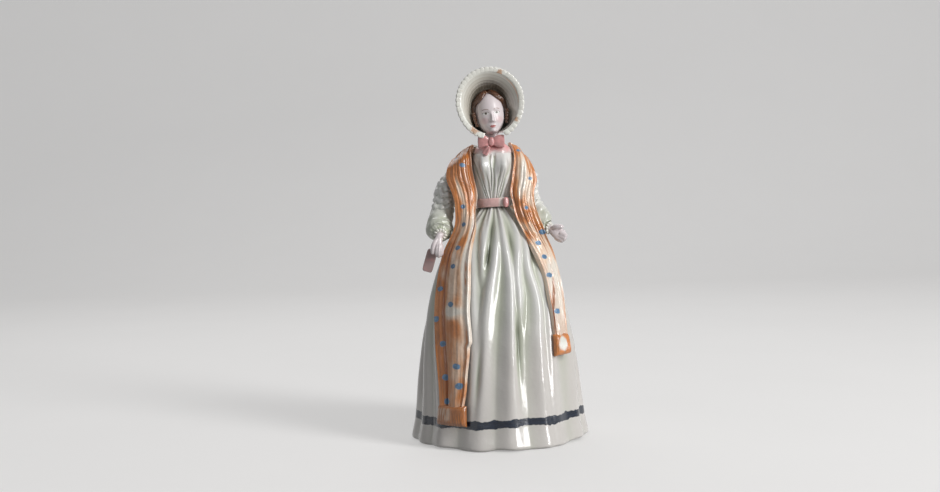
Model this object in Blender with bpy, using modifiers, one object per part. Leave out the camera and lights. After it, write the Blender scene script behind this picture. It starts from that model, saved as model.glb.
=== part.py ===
"""Porcelain lady figurine, as the slip-cast and hand-formed pieces that are luted into one figure.

Metres, +Z up. The origin is the middle of the foot and the lady faces -Y. Right and left are her own,
so her right side lies at -X. Azimuths run round +Z from the front, and are positive towards her left.
"""

import math

import bmesh
import bpy
import numpy as np
from mathutils import Euler, Matrix

MM = 0.001

# Joints between pieces
LUTE_GAP = 0.3 * MM  # layer of slip between two pieces
DRAPE_GAP = 0.5 * MM  # under cloth that lies over fluted cloth

# Skirt, a hollow casting
SKIRT_HEIGHT = 130.8 * MM
HEM_HALF_WIDTH = 50.0 * MM
HEM_HALF_DEPTH = 47.0 * MM
WAIST_HALF_WIDTH = 9.4 * MM
WAIST_HALF_DEPTH = 8.6 * MM
SKIRT_WALL = 2.6 * MM
SKIRT_FLARE = 5.0  # how fast the bell opens below the waist
SKIRT_ROUND_SHARE = 0.72  # the rest of the flare is straight
FOLD_COUNT = 18
FOLD_DRIFT = 0.45  # draws the folds to the sides at the waist
FOLD_TURN = math.radians(7)  # azimuth of the fold nearest the front
FOLD_SHARPNESS = 1.5  # above 1 the valleys are narrower than the ridges
FOLD_DEPTH_WAIST = 1.2 * MM
FOLD_DEPTH_MIDDLE = 2.6 * MM
FOLD_DEPTH_HEM = 1.5 * MM

# Base plate, set in a rebate in the foot
PLATE_THICKNESS = 2.6 * MM
PLATE_RECESS = 1.0 * MM
PLATE_LEDGE = 1.6 * MM
VENT_RADIUS = 4.0 * MM

# Bodice, a hollow casting with a spigot into the skirt's waist
BODICE_WALL = 2.4 * MM
SPIGOT_LENGTH = 4.0 * MM
SPIGOT_WALL = 1.8 * MM
NECK_RADIUS = 3.9 * MM
# Height above the waist, half width, front and back, from the waist up to the neck
BODICE_STATIONS = (
    np.array(
        (
            (0.0, 9.2, -8.4, 8.2),
            (5.0, 9.4, -8.8, 8.4),
            (11.0, 10.4, -10.4, 8.9),
            (18.0, 11.6, -12.6, 9.3),
            (23.0, 12.0, -13.2, 9.4),
            (27.5, 12.0, -11.8, 8.8),
            (31.5, 10.6, -9.6, 7.4),
            (34.5, 8.0, -8.0, 5.2),
            (36.3, 5.6, -7.2, 3.2),
        )
    )
    * MM
)
BUST_HEIGHT = 22.5 * MM
BUST_RISE = 1.6 * MM
BUST_SPREAD = 5.5 * MM
BUST_AZIMUTH = math.radians(27)
BUST_WIDTH = math.radians(17)

# Collar, belt and sash knot
COLLAR_START = 29.0 * MM
COLLAR_THICKNESS = 1.0 * MM
BELT_HEIGHT = 5.0 * MM
BELT_THICKNESS = 1.2 * MM
KNOT_AZIMUTH = math.radians(27)
KNOT_HALF_SIZES = (1.5 * MM, 1.2 * MM, 2.9 * MM)

# Head, carried on the neck
CHIN_RISE = 40.7 * MM  # chin above the waist
HEAD_SHIFT = -1.3 * MM  # to her right
HEAD_LEAD = 4.5 * MM  # in front of the foot's middle
HEAD_TURN = math.radians(5)  # to her left
HEAD_LEAN = math.radians(6)  # to her right
HEAD_HALF_WIDTH = 7.7 * MM
HEAD_HALF_DEPTH = 9.2 * MM
HEAD_HALF_HEIGHT = 11.7 * MM
CHIN_HALF_WIDTH = 2.6 * MM
NOSE_RISE = 1.6 * MM
TENON_LENGTH = 7.0 * MM

# Hair and bonnet
HAIR_THICKNESS = 1.3 * MM
RINGLET_RADIUS = 1.25 * MM
RINGLET_LENGTH = 8.6 * MM
RINGLET_BEADS = 5
BONNET_WALL = 1.3 * MM
BONNET_ROOM = 0.5 * MM  # between the hair and the crown
CROWN_EDGE = math.radians(84)  # polar angle from the face
CROWN_NAPE_EDGE = math.radians(126)  # the same, cut away behind the neck
BRIM_RADIUS = 15.6 * MM
BRIM_RISE = 7.6 * MM  # rim's middle above the head's
BRIM_REACH = 9.5 * MM  # rim in front of the head's middle
BRIM_END = math.radians(150)
FRILL_WIDTH = 1.65 * MM
FRILL_THICKNESS = 1.5 * MM
FRILL_SCALLOPS = 40

# Bow under the chin
BOW_DROP = 4.1 * MM  # below the chin
BOW_SHIFT = -1.0 * MM
BOW_LEAD = 11.2 * MM
BOW_KNOT_HALF_SIZES = (1.4 * MM, 1.6 * MM, 2.4 * MM)
BOW_LOOP_LENGTH = 5.9 * MM
BOW_LOOP_HALF_HEIGHT = 3.3 * MM
BOW_LOOP_HALF_DEPTH = 1.3 * MM
BOW_TAIL_LENGTH = 4.6 * MM
BOW_TAIL_HALF_WIDTH = 1.7 * MM
BOW_TAIL_HALF_DEPTH = 0.8 * MM

# Sleeves: points from shoulder to cuff, relative to the shoulder, with a radius at each
SHOULDER_STATION = 4  # of the bodice
SHOULDER_STAND = 3.3 * MM  # shoulder's middle outside the bodice
RIGHT_SLEEVE = (
    np.array(
        (
            (0.0, 1.0, 0.0, 4.6),
            (3.6, 0.6, -3.0, 5.0),
            (8.3, 0.0, -7.6, 5.3),
            (12.3, -0.5, -13.4, 5.8),
            (13.4, -1.5, -20.8, 5.9),
            (15.0, -3.0, -27.8, 6.9),
            (16.0, -6.5, -33.8, 7.7),
            (15.9, -10.5, -36.6, 6.4),
            (15.7, -13.0, -37.4, 3.4),
        )
    )
    * MM
)
LEFT_SLEEVE = (
    np.array(
        (
            (0.0, 1.0, 0.0, 4.6),
            (3.2, 0.6, -3.8, 4.8),
            (4.8, 0.3, -8.4, 5.0),
            (4.7, -0.2, -14.4, 4.9),
            (6.3, -1.5, -21.6, 4.9),
            (9.1, -4.0, -27.0, 5.8),
            (10.9, -6.5, -31.0, 6.2),
            (12.9, -8.5, -34.9, 4.6),
            (14.4, -9.4, -35.5, 3.2),
        )
    )
    * MM
)
RUCHE_COUNT = 4
RUCHE_RISE = 0.55 * MM
RUCHE_START = 2.2  # sleeve stations between which it is ruched
RUCHE_END = 4.4
WRIST_RADIUS = 2.0 * MM
WRIST_SOCKET = 3.5 * MM
CUFF_WIDTH = 1.5 * MM
CUFF_LENGTH = 1.6 * MM
CUFF_SCALLOPS = 9

# Hands: points from the wrist's peg to the fingertips, relative to the cuff's middle,
# each with a half width and a half thickness
RIGHT_HAND = (
    np.array(
        (
            (0.0, 2.6, 0.5, 1.8, 1.8),
            (0.0, -1.8, 0.2, 1.8, 1.8),
            (-0.4, -3.6, -1.6, 2.4, 2.0),
            (-1.6, -4.8, -5.0, 3.4, 2.4),
            (-2.6, -5.0, -8.6, 3.7, 2.6),
            (-3.0, -4.7, -11.6, 3.0, 2.2),
        )
    )
    * MM
)
LEFT_HAND = (
    np.array(
        (
            (-1.6, 0.8, 1.6, 1.8, 1.8),
            (1.2, -0.9, -0.5, 1.8, 1.8),
            (2.8, -1.6, -1.2, 2.6, 1.8),
            (5.4, -2.4, -2.4, 3.4, 1.9),
            (8.4, -3.0, -3.8, 3.2, 1.7),
            (11.4, -3.6, -5.4, 1.9, 1.2),
        )
    )
    * MM
)
RIGHT_THUMB = np.array(((0.4, -5.6, -3.0), (2.6, -6.6, -6.2), (1.9, -7.2, -9.6))) * MM
LEFT_THUMB = np.array(((2.8, -2.4, -0.4), (5.6, -4.4, 0.6), (9.0, -4.9, 0.9))) * MM
THUMB_RADIUS = 1.2 * MM

# Small book in the right hand
BOOK_SIZES = (7.6 * MM, 3.2 * MM, 13.0 * MM)
BOOK_CENTRE = np.array((-6.2, -0.5, -14.6)) * MM  # from the right cuff's middle
BOOK_LEAN = math.radians(17)
BOOK_ROUND = 0.7 * MM

# Shawl
SHAWL_THICKNESS = 1.6 * MM
SHAWL_PLEATS = 2.5
SHAWL_PLEAT_RISE = 0.7 * MM
END_THICKNESS = 2.6 * MM
END_HEIGHT = 10.0 * MM
END_OVERHANG = math.radians(2)  # each side
# Rows of the front panels above the waist: outer edge, from the shoulder's middle and the waist; inner
# edge, from the middle and the waist; bulge between them
RIGHT_PANEL_TOP = (
    np.array(
        (
            (-7.1, 0.2, 26.4, -11.0, -1.6, 34.9, 1.6),
            (-9.7, -6.5, 21.4, -13.0, -10.5, 28.4, 2.2),
            (-10.6, -9.0, 15.4, -12.6, -15.0, 19.9, 2.2),
            (-8.0, -11.0, 8.4, -11.4, -15.8, 11.4, 2.0),
            (-6.3, -12.2, 0.4, -10.8, -15.8, 0.9, 2.0),
        )
    )
    * MM
)
LEFT_PANEL_TOP = (
    np.array(
        (
            (4.3, 0.2, 27.5, 10.4, -1.6, 35.5, 1.6),
            (5.9, -5.6, 21.3, 12.2, -10.4, 27.1, 2.0),
            (7.9, -7.6, 14.5, 10.9, -13.4, 17.3, 2.2),
            (6.3, -9.6, 7.5, 10.1, -13.8, 8.5, 2.0),
            (7.1, -12.4, -1.5, 10.8, -14.4, -0.5, 1.6),
        )
    )
    * MM
)
# Rows on the skirt: share of its height, azimuths of the outer and inner edge in degrees, and how far
# each edge stands above the ridges
RIGHT_PANEL_SKIRT = (
    (0.914, -62, -32, 5.2 * MM, 1.5 * MM),
    (0.784, -67, -26, 1.2 * MM, 1.4 * MM),
    (0.612, -58.5, -22, 1.2 * MM, 1.2 * MM),
    (0.436, -51, -20, 1.2 * MM, 1.2 * MM),
    (0.290, -45.5, -21, 1.2 * MM, 1.2 * MM),
    (0.184, -43, -23, 1.2 * MM, 1.2 * MM),
)
LEFT_PANEL_SKIRT = (
    (0.898, 59.5, 42.7, 9.9 * MM, 1.4 * MM),
    (0.776, 76, 41, 1.6 * MM, 1.4 * MM),
    (0.650, 67, 42, 1.2 * MM, 1.2 * MM),
    (0.535, 61, 41, 1.2 * MM, 1.2 * MM),
    (0.459, 59, 42, 1.2 * MM, 1.2 * MM),
)
# Back of the shawl from the right shoulder to the left: lower edge, neck edge from the middle and the
# waist, bulge. Next to the shoulders the lower edge is given from the shoulder's middle and the waist,
# and behind her as a share of the skirt's height, an azimuth in degrees and how far it stands off.
BACK_RIGHT = np.array(((-7.1, 0.8, 26.4, -11.0, -1.0, 34.9, 1.6), (-11.1, 9.0, 14.9, -8.4, 6.8, 34.5, 1.4))) * MM
BACK_LEFT = np.array(((6.6, 8.6, 17.5, 8.4, 6.8, 34.3, 1.4), (4.3, 0.8, 27.5, 10.4, -1.0, 35.5, 1.6))) * MM
BACK_FALL = ((0.971, 126, 10.2 * MM), (0.906, 180, 0.9 * MM), (0.971, 234, 10.2 * MM))
BACK_NECK = np.array(((4.4, 10.4, 33.1, -0.6), (0.0, 11.4, 32.5, -2.0), (-4.4, 10.4, 33.1, -0.6))) * MM

# Mesh counts
SKIRT_SIDES = 90
ROUND_SIDES = 28
SLEEVE_SIDES = 10

# Glaze colours
WHITE = (0.86, 0.85, 0.82)
CELADON = (0.72, 0.75, 0.68)
FLESH = (0.88, 0.82, 0.80)
ROSE = (0.78, 0.42, 0.40)
OCHRE = (0.80, 0.47, 0.22)
BROWN = (0.16, 0.06, 0.03)
BISQUE = (0.80, 0.78, 0.74)


def clear_scene():
    for obj in list(bpy.data.objects):
        bpy.data.objects.remove(obj)


def glaze(name, colour, roughness):
    """Glazed ceramic of one colour."""
    material = bpy.data.materials.new(name)
    material.use_nodes = True
    shader = material.node_tree.nodes["Principled BSDF"]
    shader.inputs["Base Color"].default_value = (*colour, 1)
    shader.inputs["Roughness"].default_value = roughness
    shader.inputs["Metallic"].default_value = 0
    return material


def through(knots, values, at):
    """Smooth curve through values at rising knots, read at the numbers in at."""
    knots = np.asarray(knots, float)
    values = np.asarray(values, float)
    at = np.atleast_1d(np.asarray(at, float))
    slope = np.gradient(values, knots, axis=0)
    i = np.clip(np.searchsorted(knots, at, side="right") - 1, 0, len(knots) - 2)
    span = knots[i + 1] - knots[i]
    s = (at - knots[i]) / span
    if values.ndim > 1:
        shape = (-1,) + (1,) * (values.ndim - 1)
        s, span = s.reshape(shape), span.reshape(shape)
    start = values[i] * (1 + 2 * s) * (1 - s) ** 2 + values[i + 1] * s**2 * (3 - 2 * s)
    return start + span * (slope[i] * s * (1 - s) ** 2 + slope[i + 1] * s**2 * (s - 1))


def turn_samples(count):
    """Azimuths once round, without the last that meets the first."""
    return np.arange(count) * (2 * math.pi / count)


def add_mesh(name, points, faces, material):
    """One object from points and faces, with its faces turned outwards."""
    mesh = bpy.data.meshes.new(name)
    mesh.from_pydata(np.asarray(points).tolist(), [], faces)
    work = bmesh.new()
    work.from_mesh(mesh)
    bmesh.ops.recalc_face_normals(work, faces=work.faces)
    work.to_mesh(mesh)
    work.free()
    mesh.shade_smooth()
    mesh.set_sharp_from_angle(angle=math.radians(40))
    mesh.materials.append(material)
    obj = bpy.data.objects.new(name, mesh)
    figure.objects.link(obj)
    return obj


def grid_faces(rows, columns, wrap_rows, wrap_columns):
    """Quads of a grid of points, row by row."""
    faces = []
    for i in range(rows if wrap_rows else rows - 1):
        for j in range(columns if wrap_columns else columns - 1):
            below, beside = (i + 1) % rows, (j + 1) % columns
            corners = ((i, j), (i, beside), (below, beside), (below, j))
            faces.append([r * columns + c for r, c in corners])
    return faces


def loft(name, rings, material, ring_tube=False):
    """Solid through closed rings. Its ends are capped or, on a ring tube, the last ring meets the first."""
    rings = np.asarray(rings)
    rows, columns = rings.shape[:2]
    faces = grid_faces(rows, columns, ring_tube, True)
    if not ring_tube:
        faces.append(list(range(columns)))
        faces.append([(rows - 1) * columns + c for c in range(columns)])
    return add_mesh(name, rings.reshape(-1, 3), faces, material)


def slab(name, grid, thickness, outward, material):
    """Open sheet of points, thickened on its outer side. outward points away from what it lies on."""
    grid = np.asarray(grid)
    rows, columns = grid.shape[:2]
    normal = np.cross(np.gradient(grid, axis=1), np.gradient(grid, axis=0))
    if (normal * outward).sum() < 0:
        grid = grid[:, ::-1]
    mesh = bpy.data.meshes.new(name)
    mesh.from_pydata(grid.reshape(-1, 3).tolist(), [], grid_faces(rows, columns, False, False))
    mesh.shade_smooth()
    mesh.materials.append(material)
    obj = bpy.data.objects.new(name, mesh)
    figure.objects.link(obj)
    wall = obj.modifiers.new("Solidify", "SOLIDIFY")
    wall.thickness = thickness
    wall.offset = 1
    return obj


def ellipsoid(name, centre, half_sizes, rotation, material, segments=12, rings=8):
    """Ball with three half sizes."""
    mesh = bpy.data.meshes.new(name)
    work = bmesh.new()
    bmesh.ops.create_uvsphere(work, u_segments=segments, v_segments=rings, radius=1)
    bmesh.ops.scale(work, vec=half_sizes, verts=work.verts)
    bmesh.ops.rotate(work, matrix=rotation.to_matrix(), verts=work.verts)
    work.to_mesh(mesh)
    work.free()
    mesh.shade_smooth()
    mesh.materials.append(material)
    obj = bpy.data.objects.new(name, mesh)
    obj.location = centre
    figure.objects.link(obj)
    return obj


def join_cut(target, other, operation):
    """Joins other to the target, or cuts it out, and keeps other as a hidden guide."""
    figure.objects.unlink(other)
    guides.objects.link(other)
    other.hide_render = True
    other.display_type = "WIRE"
    step = target.modifiers.new(operation.title(), "BOOLEAN")
    step.operation = operation
    step.object = other


def frames_along(points):
    """Tangent, side and upward direction at each point of a path."""
    tangent = np.gradient(points, axis=0)
    tangent /= np.linalg.norm(tangent, axis=1, keepdims=True)
    side = np.cross(tangent, (0.0, -1.0, 0.35))
    side /= np.linalg.norm(side, axis=1, keepdims=True)
    up = np.cross(side, tangent)
    return tangent, side, up


def tube_rings(points, half_widths, half_heights, sides):
    """Elliptical rings square to a path."""
    _, side, up = frames_along(points)
    turn = turn_samples(sides)[None, :, None]
    wide = side[:, None] * np.asarray(half_widths)[:, None, None]
    high = up[:, None] * np.asarray(half_heights)[:, None, None]
    return points[:, None] + np.cos(turn) * wide + np.sin(turn) * high


def ellipse_ring(half_width, front, back, height, sides):
    """Level ring from its half width and its front and back."""
    turn = turn_samples(sides)
    middle, depth = (front + back) / 2, (back - front) / 2
    ring = (half_width * np.sin(turn), middle - depth * np.cos(turn), np.full(sides, height))
    return np.stack(ring, axis=1)


# Skirt


def skirt_half_sizes(height):
    """Half width and half depth over the ridges of the folds."""
    drop = 1 - height / SKIRT_HEIGHT
    rounded = (1 - np.exp(-SKIRT_FLARE * drop)) / (1 - math.exp(-SKIRT_FLARE))
    share = SKIRT_ROUND_SHARE * rounded + (1 - SKIRT_ROUND_SHARE) * drop
    half_width = WAIST_HALF_WIDTH + (HEM_HALF_WIDTH - WAIST_HALF_WIDTH) * share
    half_depth = WAIST_HALF_DEPTH + (HEM_HALF_DEPTH - WAIST_HALF_DEPTH) * share
    return half_width, half_depth


def fold_limit(height):
    """Deepest that a fold goes at a height."""
    depths = (FOLD_DEPTH_WAIST, FOLD_DEPTH_MIDDLE, FOLD_DEPTH_HEM)
    return through((0, 0.4, 1), depths, 1 - height / SKIRT_HEIGHT)


def fold_depth(azimuth, height):
    """Depth below the ridges: a wave round the skirt whose valleys are narrow, uneven from fold to fold."""
    drift = FOLD_DRIFT * (height / SKIRT_HEIGHT) ** 1.5
    phase = FOLD_COUNT * (azimuth - FOLD_TURN - drift * np.sin(azimuth - FOLD_TURN))
    phase = phase + 0.9 * np.sin(2 * azimuth + 0.7) + 0.5 * np.sin(5 * azimuth)
    uneven = 0.74 + 0.26 * np.sin(3 * azimuth + 1.1)
    return fold_limit(height) * uneven * ((1 - np.cos(phase)) / 2) ** FOLD_SHARPNESS


def skirt_ring(height, inset, folded, sides):
    """Ring on the skirt's surface, or inset from the ridges where it isn't folded."""
    turn = turn_samples(sides)
    half_width, half_depth = skirt_half_sizes(height)
    depth = fold_depth(turn, height) if folded else 0.0
    x = (half_width - inset - depth) * np.sin(turn)
    y = -(half_depth - inset - depth) * np.cos(turn)
    return np.stack((x, y, np.full(sides, height)), axis=1)


def on_skirt(height, azimuth, rise):
    """Points over the skirt's ridges."""
    half_width, half_depth = skirt_half_sizes(height)
    x = (half_width + rise) * np.sin(azimuth)
    y = -(half_depth + rise) * np.cos(azimuth)
    return np.stack((x, y, np.full(np.shape(azimuth), height)), axis=-1)


def skirt_inset(height):
    """Inner wall's distance from the ridges."""
    return fold_limit(height) + SKIRT_WALL


def skirt_mouth_radius():
    """Smallest half size of the opening at the waist."""
    return min(WAIST_HALF_WIDTH, WAIST_HALF_DEPTH) - float(skirt_inset(SKIRT_HEIGHT)[0])


def make_skirt(material):
    rise = SKIRT_HEIGHT * np.array((0, 0.08, 0.22, 0.4, 0.57, 0.72, 0.84, 0.92, 0.97, 1.0))
    outer = [skirt_ring(z, 0.0, True, SKIRT_SIDES) for z in rise]
    ledge = PLATE_RECESS + PLATE_THICKNESS + LUTE_GAP
    inside = np.concatenate(((SKIRT_HEIGHT, 0.93 * SKIRT_HEIGHT), np.linspace(0.76, 0.2, 3) * SKIRT_HEIGHT))
    inner = [skirt_ring(z, skirt_inset(z), False, SKIRT_SIDES) for z in inside]
    foot_inset = skirt_inset(0.0)
    inner.append(skirt_ring(ledge, foot_inset + PLATE_LEDGE, False, SKIRT_SIDES))
    rebate = skirt_ring(0.0, foot_inset, False, SKIRT_SIDES)
    inner.append(rebate + (0, 0, ledge))
    inner.append(rebate)
    loft("skirt_shell", outer + inner, material, ring_tube=True)


def make_base_plate(material):
    """Flat oval plate with a vent hole, from two round outlines."""
    half_width, half_depth = skirt_half_sizes(0.0)
    inset = float(skirt_inset(0.0)[0]) + LUTE_GAP
    outline = bpy.data.curves.new("base_plate", "CURVE")
    outline.dimensions = "2D"
    outline.fill_mode = "BOTH"
    outline.extrude = PLATE_THICKNESS / 2
    ovals = ((half_width - inset, half_depth - inset, 48), (VENT_RADIUS, VENT_RADIUS, 20))
    for wide, deep, sides in ovals:
        spline = outline.splines.new("POLY")
        spline.points.add(sides - 1)
        for point, turn in zip(spline.points, turn_samples(sides)):
            point.co = (wide * math.cos(turn), deep * math.sin(turn), 0, 1)
        spline.use_cyclic_u = True
    outline.materials.append(material)
    plate = bpy.data.objects.new("base_plate", outline)
    plate.location = (0, 0, PLATE_RECESS + PLATE_THICKNESS / 2)
    figure.objects.link(plate)


# Places that follow from the sizes above

BODICE_BASE = SKIRT_HEIGHT + LUTE_GAP
SHOULDER_HALF_WIDTH = BODICE_STATIONS[SHOULDER_STATION, 1] + SHOULDER_STAND
SHOULDER_HEIGHT = BODICE_BASE + BODICE_STATIONS[SHOULDER_STATION, 0]
CHIN_HEIGHT = BODICE_BASE + CHIN_RISE
HEAD_CENTRE = np.array((HEAD_SHIFT, -HEAD_LEAD, CHIN_HEIGHT + HEAD_HALF_HEIGHT))
BOW_CENTRE = np.array((BOW_SHIFT, -BOW_LEAD, CHIN_HEIGHT - BOW_DROP))

# Bodice, collar and belt


def bodice_ring(rise, offset, sides):
    """Ring on the bodice at a height above the waist, moved out by offset."""
    half_width, front, back = through(BODICE_STATIONS[:, 0], BODICE_STATIONS[:, 1:], rise)[0]
    ring = ellipse_ring(half_width + offset, front - offset, back + offset, BODICE_BASE + rise, sides)
    turn = turn_samples(sides)
    turn = np.where(turn > math.pi, turn - 2 * math.pi, turn)
    swell = np.exp(-(((np.abs(turn) - BUST_AZIMUTH) / BUST_WIDTH) ** 2))
    swell *= BUST_RISE * math.exp(-(((rise - BUST_HEIGHT) / BUST_SPREAD) ** 2))
    ring[:, 0] += swell * np.sin(turn)
    ring[:, 1] -= swell * np.cos(turn)
    return ring


def make_bodice(material):
    top = BODICE_STATIONS[-1, 0]
    outer = [bodice_ring(rise, 0.0, ROUND_SIDES) for rise in np.linspace(0, top, 11)]
    neck_front = (BODICE_STATIONS[-1, 2] + BODICE_STATIONS[-1, 3]) / 2
    socket = NECK_RADIUS + LUTE_GAP
    inner = []
    for rise in (top, top - TENON_LENGTH):
        height = BODICE_BASE + rise
        inner.append(ellipse_ring(socket, neck_front - socket, neck_front + socket, height, ROUND_SIDES))
    for rise in (0.62 * top, 0.3 * top, 0.06 * top):
        inner.append(bodice_ring(rise, -BODICE_WALL, ROUND_SIDES))
    spigot = skirt_mouth_radius() - LUTE_GAP
    bore = spigot - SPIGOT_WALL
    for radius, height in ((bore, SKIRT_HEIGHT), (bore, SKIRT_HEIGHT - SPIGOT_LENGTH)):
        inner.append(ellipse_ring(radius, -radius, radius, height, ROUND_SIDES))
    for height in (SKIRT_HEIGHT - SPIGOT_LENGTH, BODICE_BASE):
        inner.append(ellipse_ring(spigot, -spigot, spigot, height, ROUND_SIDES))
    loft("bodice", outer + inner, material, ring_tube=True)


def bodice_band(name, low, high, rows, thickness, material):
    """Band worn on the bodice between two heights above the waist."""
    rises = np.linspace(low, high, rows)
    outer = [bodice_ring(rise, LUTE_GAP + thickness, ROUND_SIDES) for rise in rises]
    inner = [bodice_ring(rise, LUTE_GAP, ROUND_SIDES) for rise in rises[::-1]]
    loft(name, outer + inner, material, ring_tube=True)


def make_sash_knot(material):
    """Knot that stands on the belt's face."""
    ring = bodice_ring(BELT_HEIGHT / 2, LUTE_GAP + BELT_THICKNESS, 360)
    seat = ring[round(math.degrees(KNOT_AZIMUTH))]
    out = np.array((math.sin(KNOT_AZIMUTH), -math.cos(KNOT_AZIMUTH), 0))
    centre = seat + out * (KNOT_HALF_SIZES[1] + LUTE_GAP)
    ellipsoid("sash_knot", centre, KNOT_HALF_SIZES, Euler((0, 0, KNOT_AZIMUTH)), material)


# Head, hair and bonnet, in the head's own frame

HEAD_ROTATION = np.array(Euler((0, -HEAD_LEAN, HEAD_TURN)).to_matrix())


def head_to_world(points):
    return np.asarray(points) @ HEAD_ROTATION.T + HEAD_CENTRE


def polar(half_sizes, angle, turn):
    """Points of an ellipsoid by polar angle from the face and turn from the crown to her left."""
    wide, deep, high = half_sizes
    x = wide * np.sin(angle) * np.sin(turn)
    z = high * np.sin(angle) * np.cos(turn)
    return np.stack((x, -deep * np.cos(angle), z), axis=-1)


def skull(extra):
    """Half sizes of the head's ellipsoid grown by extra."""
    return HEAD_HALF_WIDTH + extra, HEAD_HALF_DEPTH + extra, HEAD_HALF_HEIGHT + extra


def make_head(material):
    """Face and skull as level rings that narrow to the chin, on a neck whose tenon fits the bodice."""
    neck_middle = np.array((0, (BODICE_STATIONS[-1, 2] + BODICE_STATIONS[-1, 3]) / 2, 0))
    socket_top = BODICE_BASE + BODICE_STATIONS[-1, 0]
    turn = turn_samples(20)
    rings = []
    for height in (socket_top - TENON_LENGTH + LUTE_GAP, socket_top, socket_top + 3 * MM):
        ring = ellipse_ring(NECK_RADIUS, -NECK_RADIUS, NECK_RADIUS, height, len(turn))
        rings.append(ring + neck_middle)
    for share in np.array((-1.0, -0.93, -0.8, -0.6, -0.4, -0.24, -0.08, 0.15, 0.4, 0.62, 0.8, 0.92, 0.985)):
        level = share * HEAD_HALF_HEIGHT
        round_share = math.sqrt(max(0.0, 1 - share**2))
        jaw = max(0.0, -share)
        half_width, front = HEAD_HALF_WIDTH * round_share, HEAD_HALF_DEPTH * round_share
        if jaw:
            half_width = HEAD_HALF_WIDTH * (1 - 0.35 * jaw**2)
            half_width = half_width + (CHIN_HALF_WIDTH - half_width) * jaw**4
            front = HEAD_HALF_DEPTH * (1 - 0.16 * jaw**2)
        back = HEAD_HALF_DEPTH * max(round_share * (1 - 0.15 * jaw), 0.3 * jaw)
        ring = ellipse_ring(half_width, -front, back, level, len(turn))
        nose = math.exp(-(((share + 0.2) / 0.13) ** 2)) * NOSE_RISE
        ring[:, 1] -= nose * np.exp(-((ring[:, 0] / (1.6 * MM)) ** 2)) * (np.cos(turn) > 0)
        rings.append(head_to_world(ring))
    loft("head", rings, material)


def hairline(turn):
    """Polar angle of the hair's front edge: high over the brow and drawn back beside the face."""
    return math.radians(54) + math.radians(26) * np.sin(turn / 2) ** 2 * 2


def make_hair(material):
    """Parted hair as a band round the head, from the brow back into the bonnet."""
    turns = np.radians(np.linspace(-106, 106, 17))
    rings = []
    for turn in turns:
        angles = np.linspace(hairline(turn), math.radians(150), 6)
        swell = np.array((0.3, 0.95, 1, 1, 0.9, 0.6)) * HAIR_THICKNESS
        part = 1 - 0.35 * math.exp(-((turn / 0.16) ** 2))
        outer = [polar(skull(LUTE_GAP + rise * part), a, turn) for a, rise in zip(angles, swell)]
        inner = [polar(skull(LUTE_GAP), a, turn) for a in angles[::-1]]
        rings.append(head_to_world(outer + inner))
    loft("hair", rings, material)


def make_ringlet(name, side, material):
    """Side curl as a string of beads hanging in front of the ear."""
    count = RINGLET_BEADS * 2 + 1
    along = np.linspace(0, 1, count)
    x = side * (HEAD_HALF_WIDTH + LUTE_GAP + RINGLET_RADIUS * 0.7 - 1.3 * MM * along**2)
    y = np.full(count, -0.42 * HEAD_HALF_DEPTH)
    z = 0.16 * HEAD_HALF_HEIGHT - RINGLET_LENGTH * along
    beads = RINGLET_RADIUS * (0.74 + 0.26 * np.abs(np.sin(RINGLET_BEADS * math.pi * along)))
    beads *= np.where(along < 0.05, 0.6, 1) * (1 - 0.35 * along)
    path = head_to_world(np.stack((x, y, z), axis=1))
    loft(name, tube_rings(path, beads, beads, 7), material)


def crown_edge(turn):
    """Polar angle of the crown's front edge, cut back behind the neck."""
    nape = np.clip((np.abs(turn) - math.radians(95)) / math.radians(60), 0, 1)
    return CROWN_EDGE + (CROWN_NAPE_EDGE - CROWN_EDGE) * nape**2 * (3 - 2 * nape)


def crown_rise():
    """Inner wall of the crown above the skull."""
    return LUTE_GAP + HAIR_THICKNESS + BONNET_ROOM


def make_crown(material):
    """Cap behind the head, open to the front."""
    turn = turn_samples(28)
    turn = np.where(turn > math.pi, turn - 2 * math.pi, turn)
    edge = crown_edge(turn)
    shares = (0.0, 0.3, 0.6, 0.84, 0.97)
    last = math.radians(180)
    inner = [polar(skull(crown_rise()), edge + (last - edge) * s, turn) for s in shares[::-1]]
    outer = [polar(skull(crown_rise() + BONNET_WALL), edge + (last - edge) * s, turn) for s in shares]
    loft("bonnet_crown", head_to_world(inner + outer), material)


def brim_rim(turn, radius):
    """Points of the brim's front edge."""
    x = radius * np.sin(turn)
    z = BRIM_RISE + radius * np.cos(turn) * np.where(np.cos(turn) < 0, 1.12, 1.0)
    return np.stack((x, np.full(np.shape(turn), -BRIM_REACH), z), axis=-1)


def brim_face(turns, shares, rise):
    """One face of the brim: a funnel that bends out from the crown's edge to the rim."""
    lead = LUTE_GAP / HEAD_HALF_DEPTH * 1.5
    start = polar(skull(crown_rise() + rise), crown_edge(turns) - lead, turns)
    end = brim_rim(turns, BRIM_RADIUS + rise)
    bend = start * 0.55 + end * 0.45
    bend[:, 1] = start[:, 1] * 0.35 + end[:, 1] * 0.65
    s = np.asarray(shares)[:, None, None]
    return start * (1 - s) ** 2 + 2 * bend * s * (1 - s) + end * s**2


def make_brim(material):
    turns = np.linspace(-BRIM_END, BRIM_END, 33)
    shares = np.linspace(0, 1, 5)
    inner = brim_face(turns, shares, 0.0)
    outer = brim_face(turns, shares, BONNET_WALL)
    rings = np.concatenate((inner, outer[::-1])).transpose(1, 0, 2)
    loft("bonnet_brim", head_to_world(rings), material)


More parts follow.
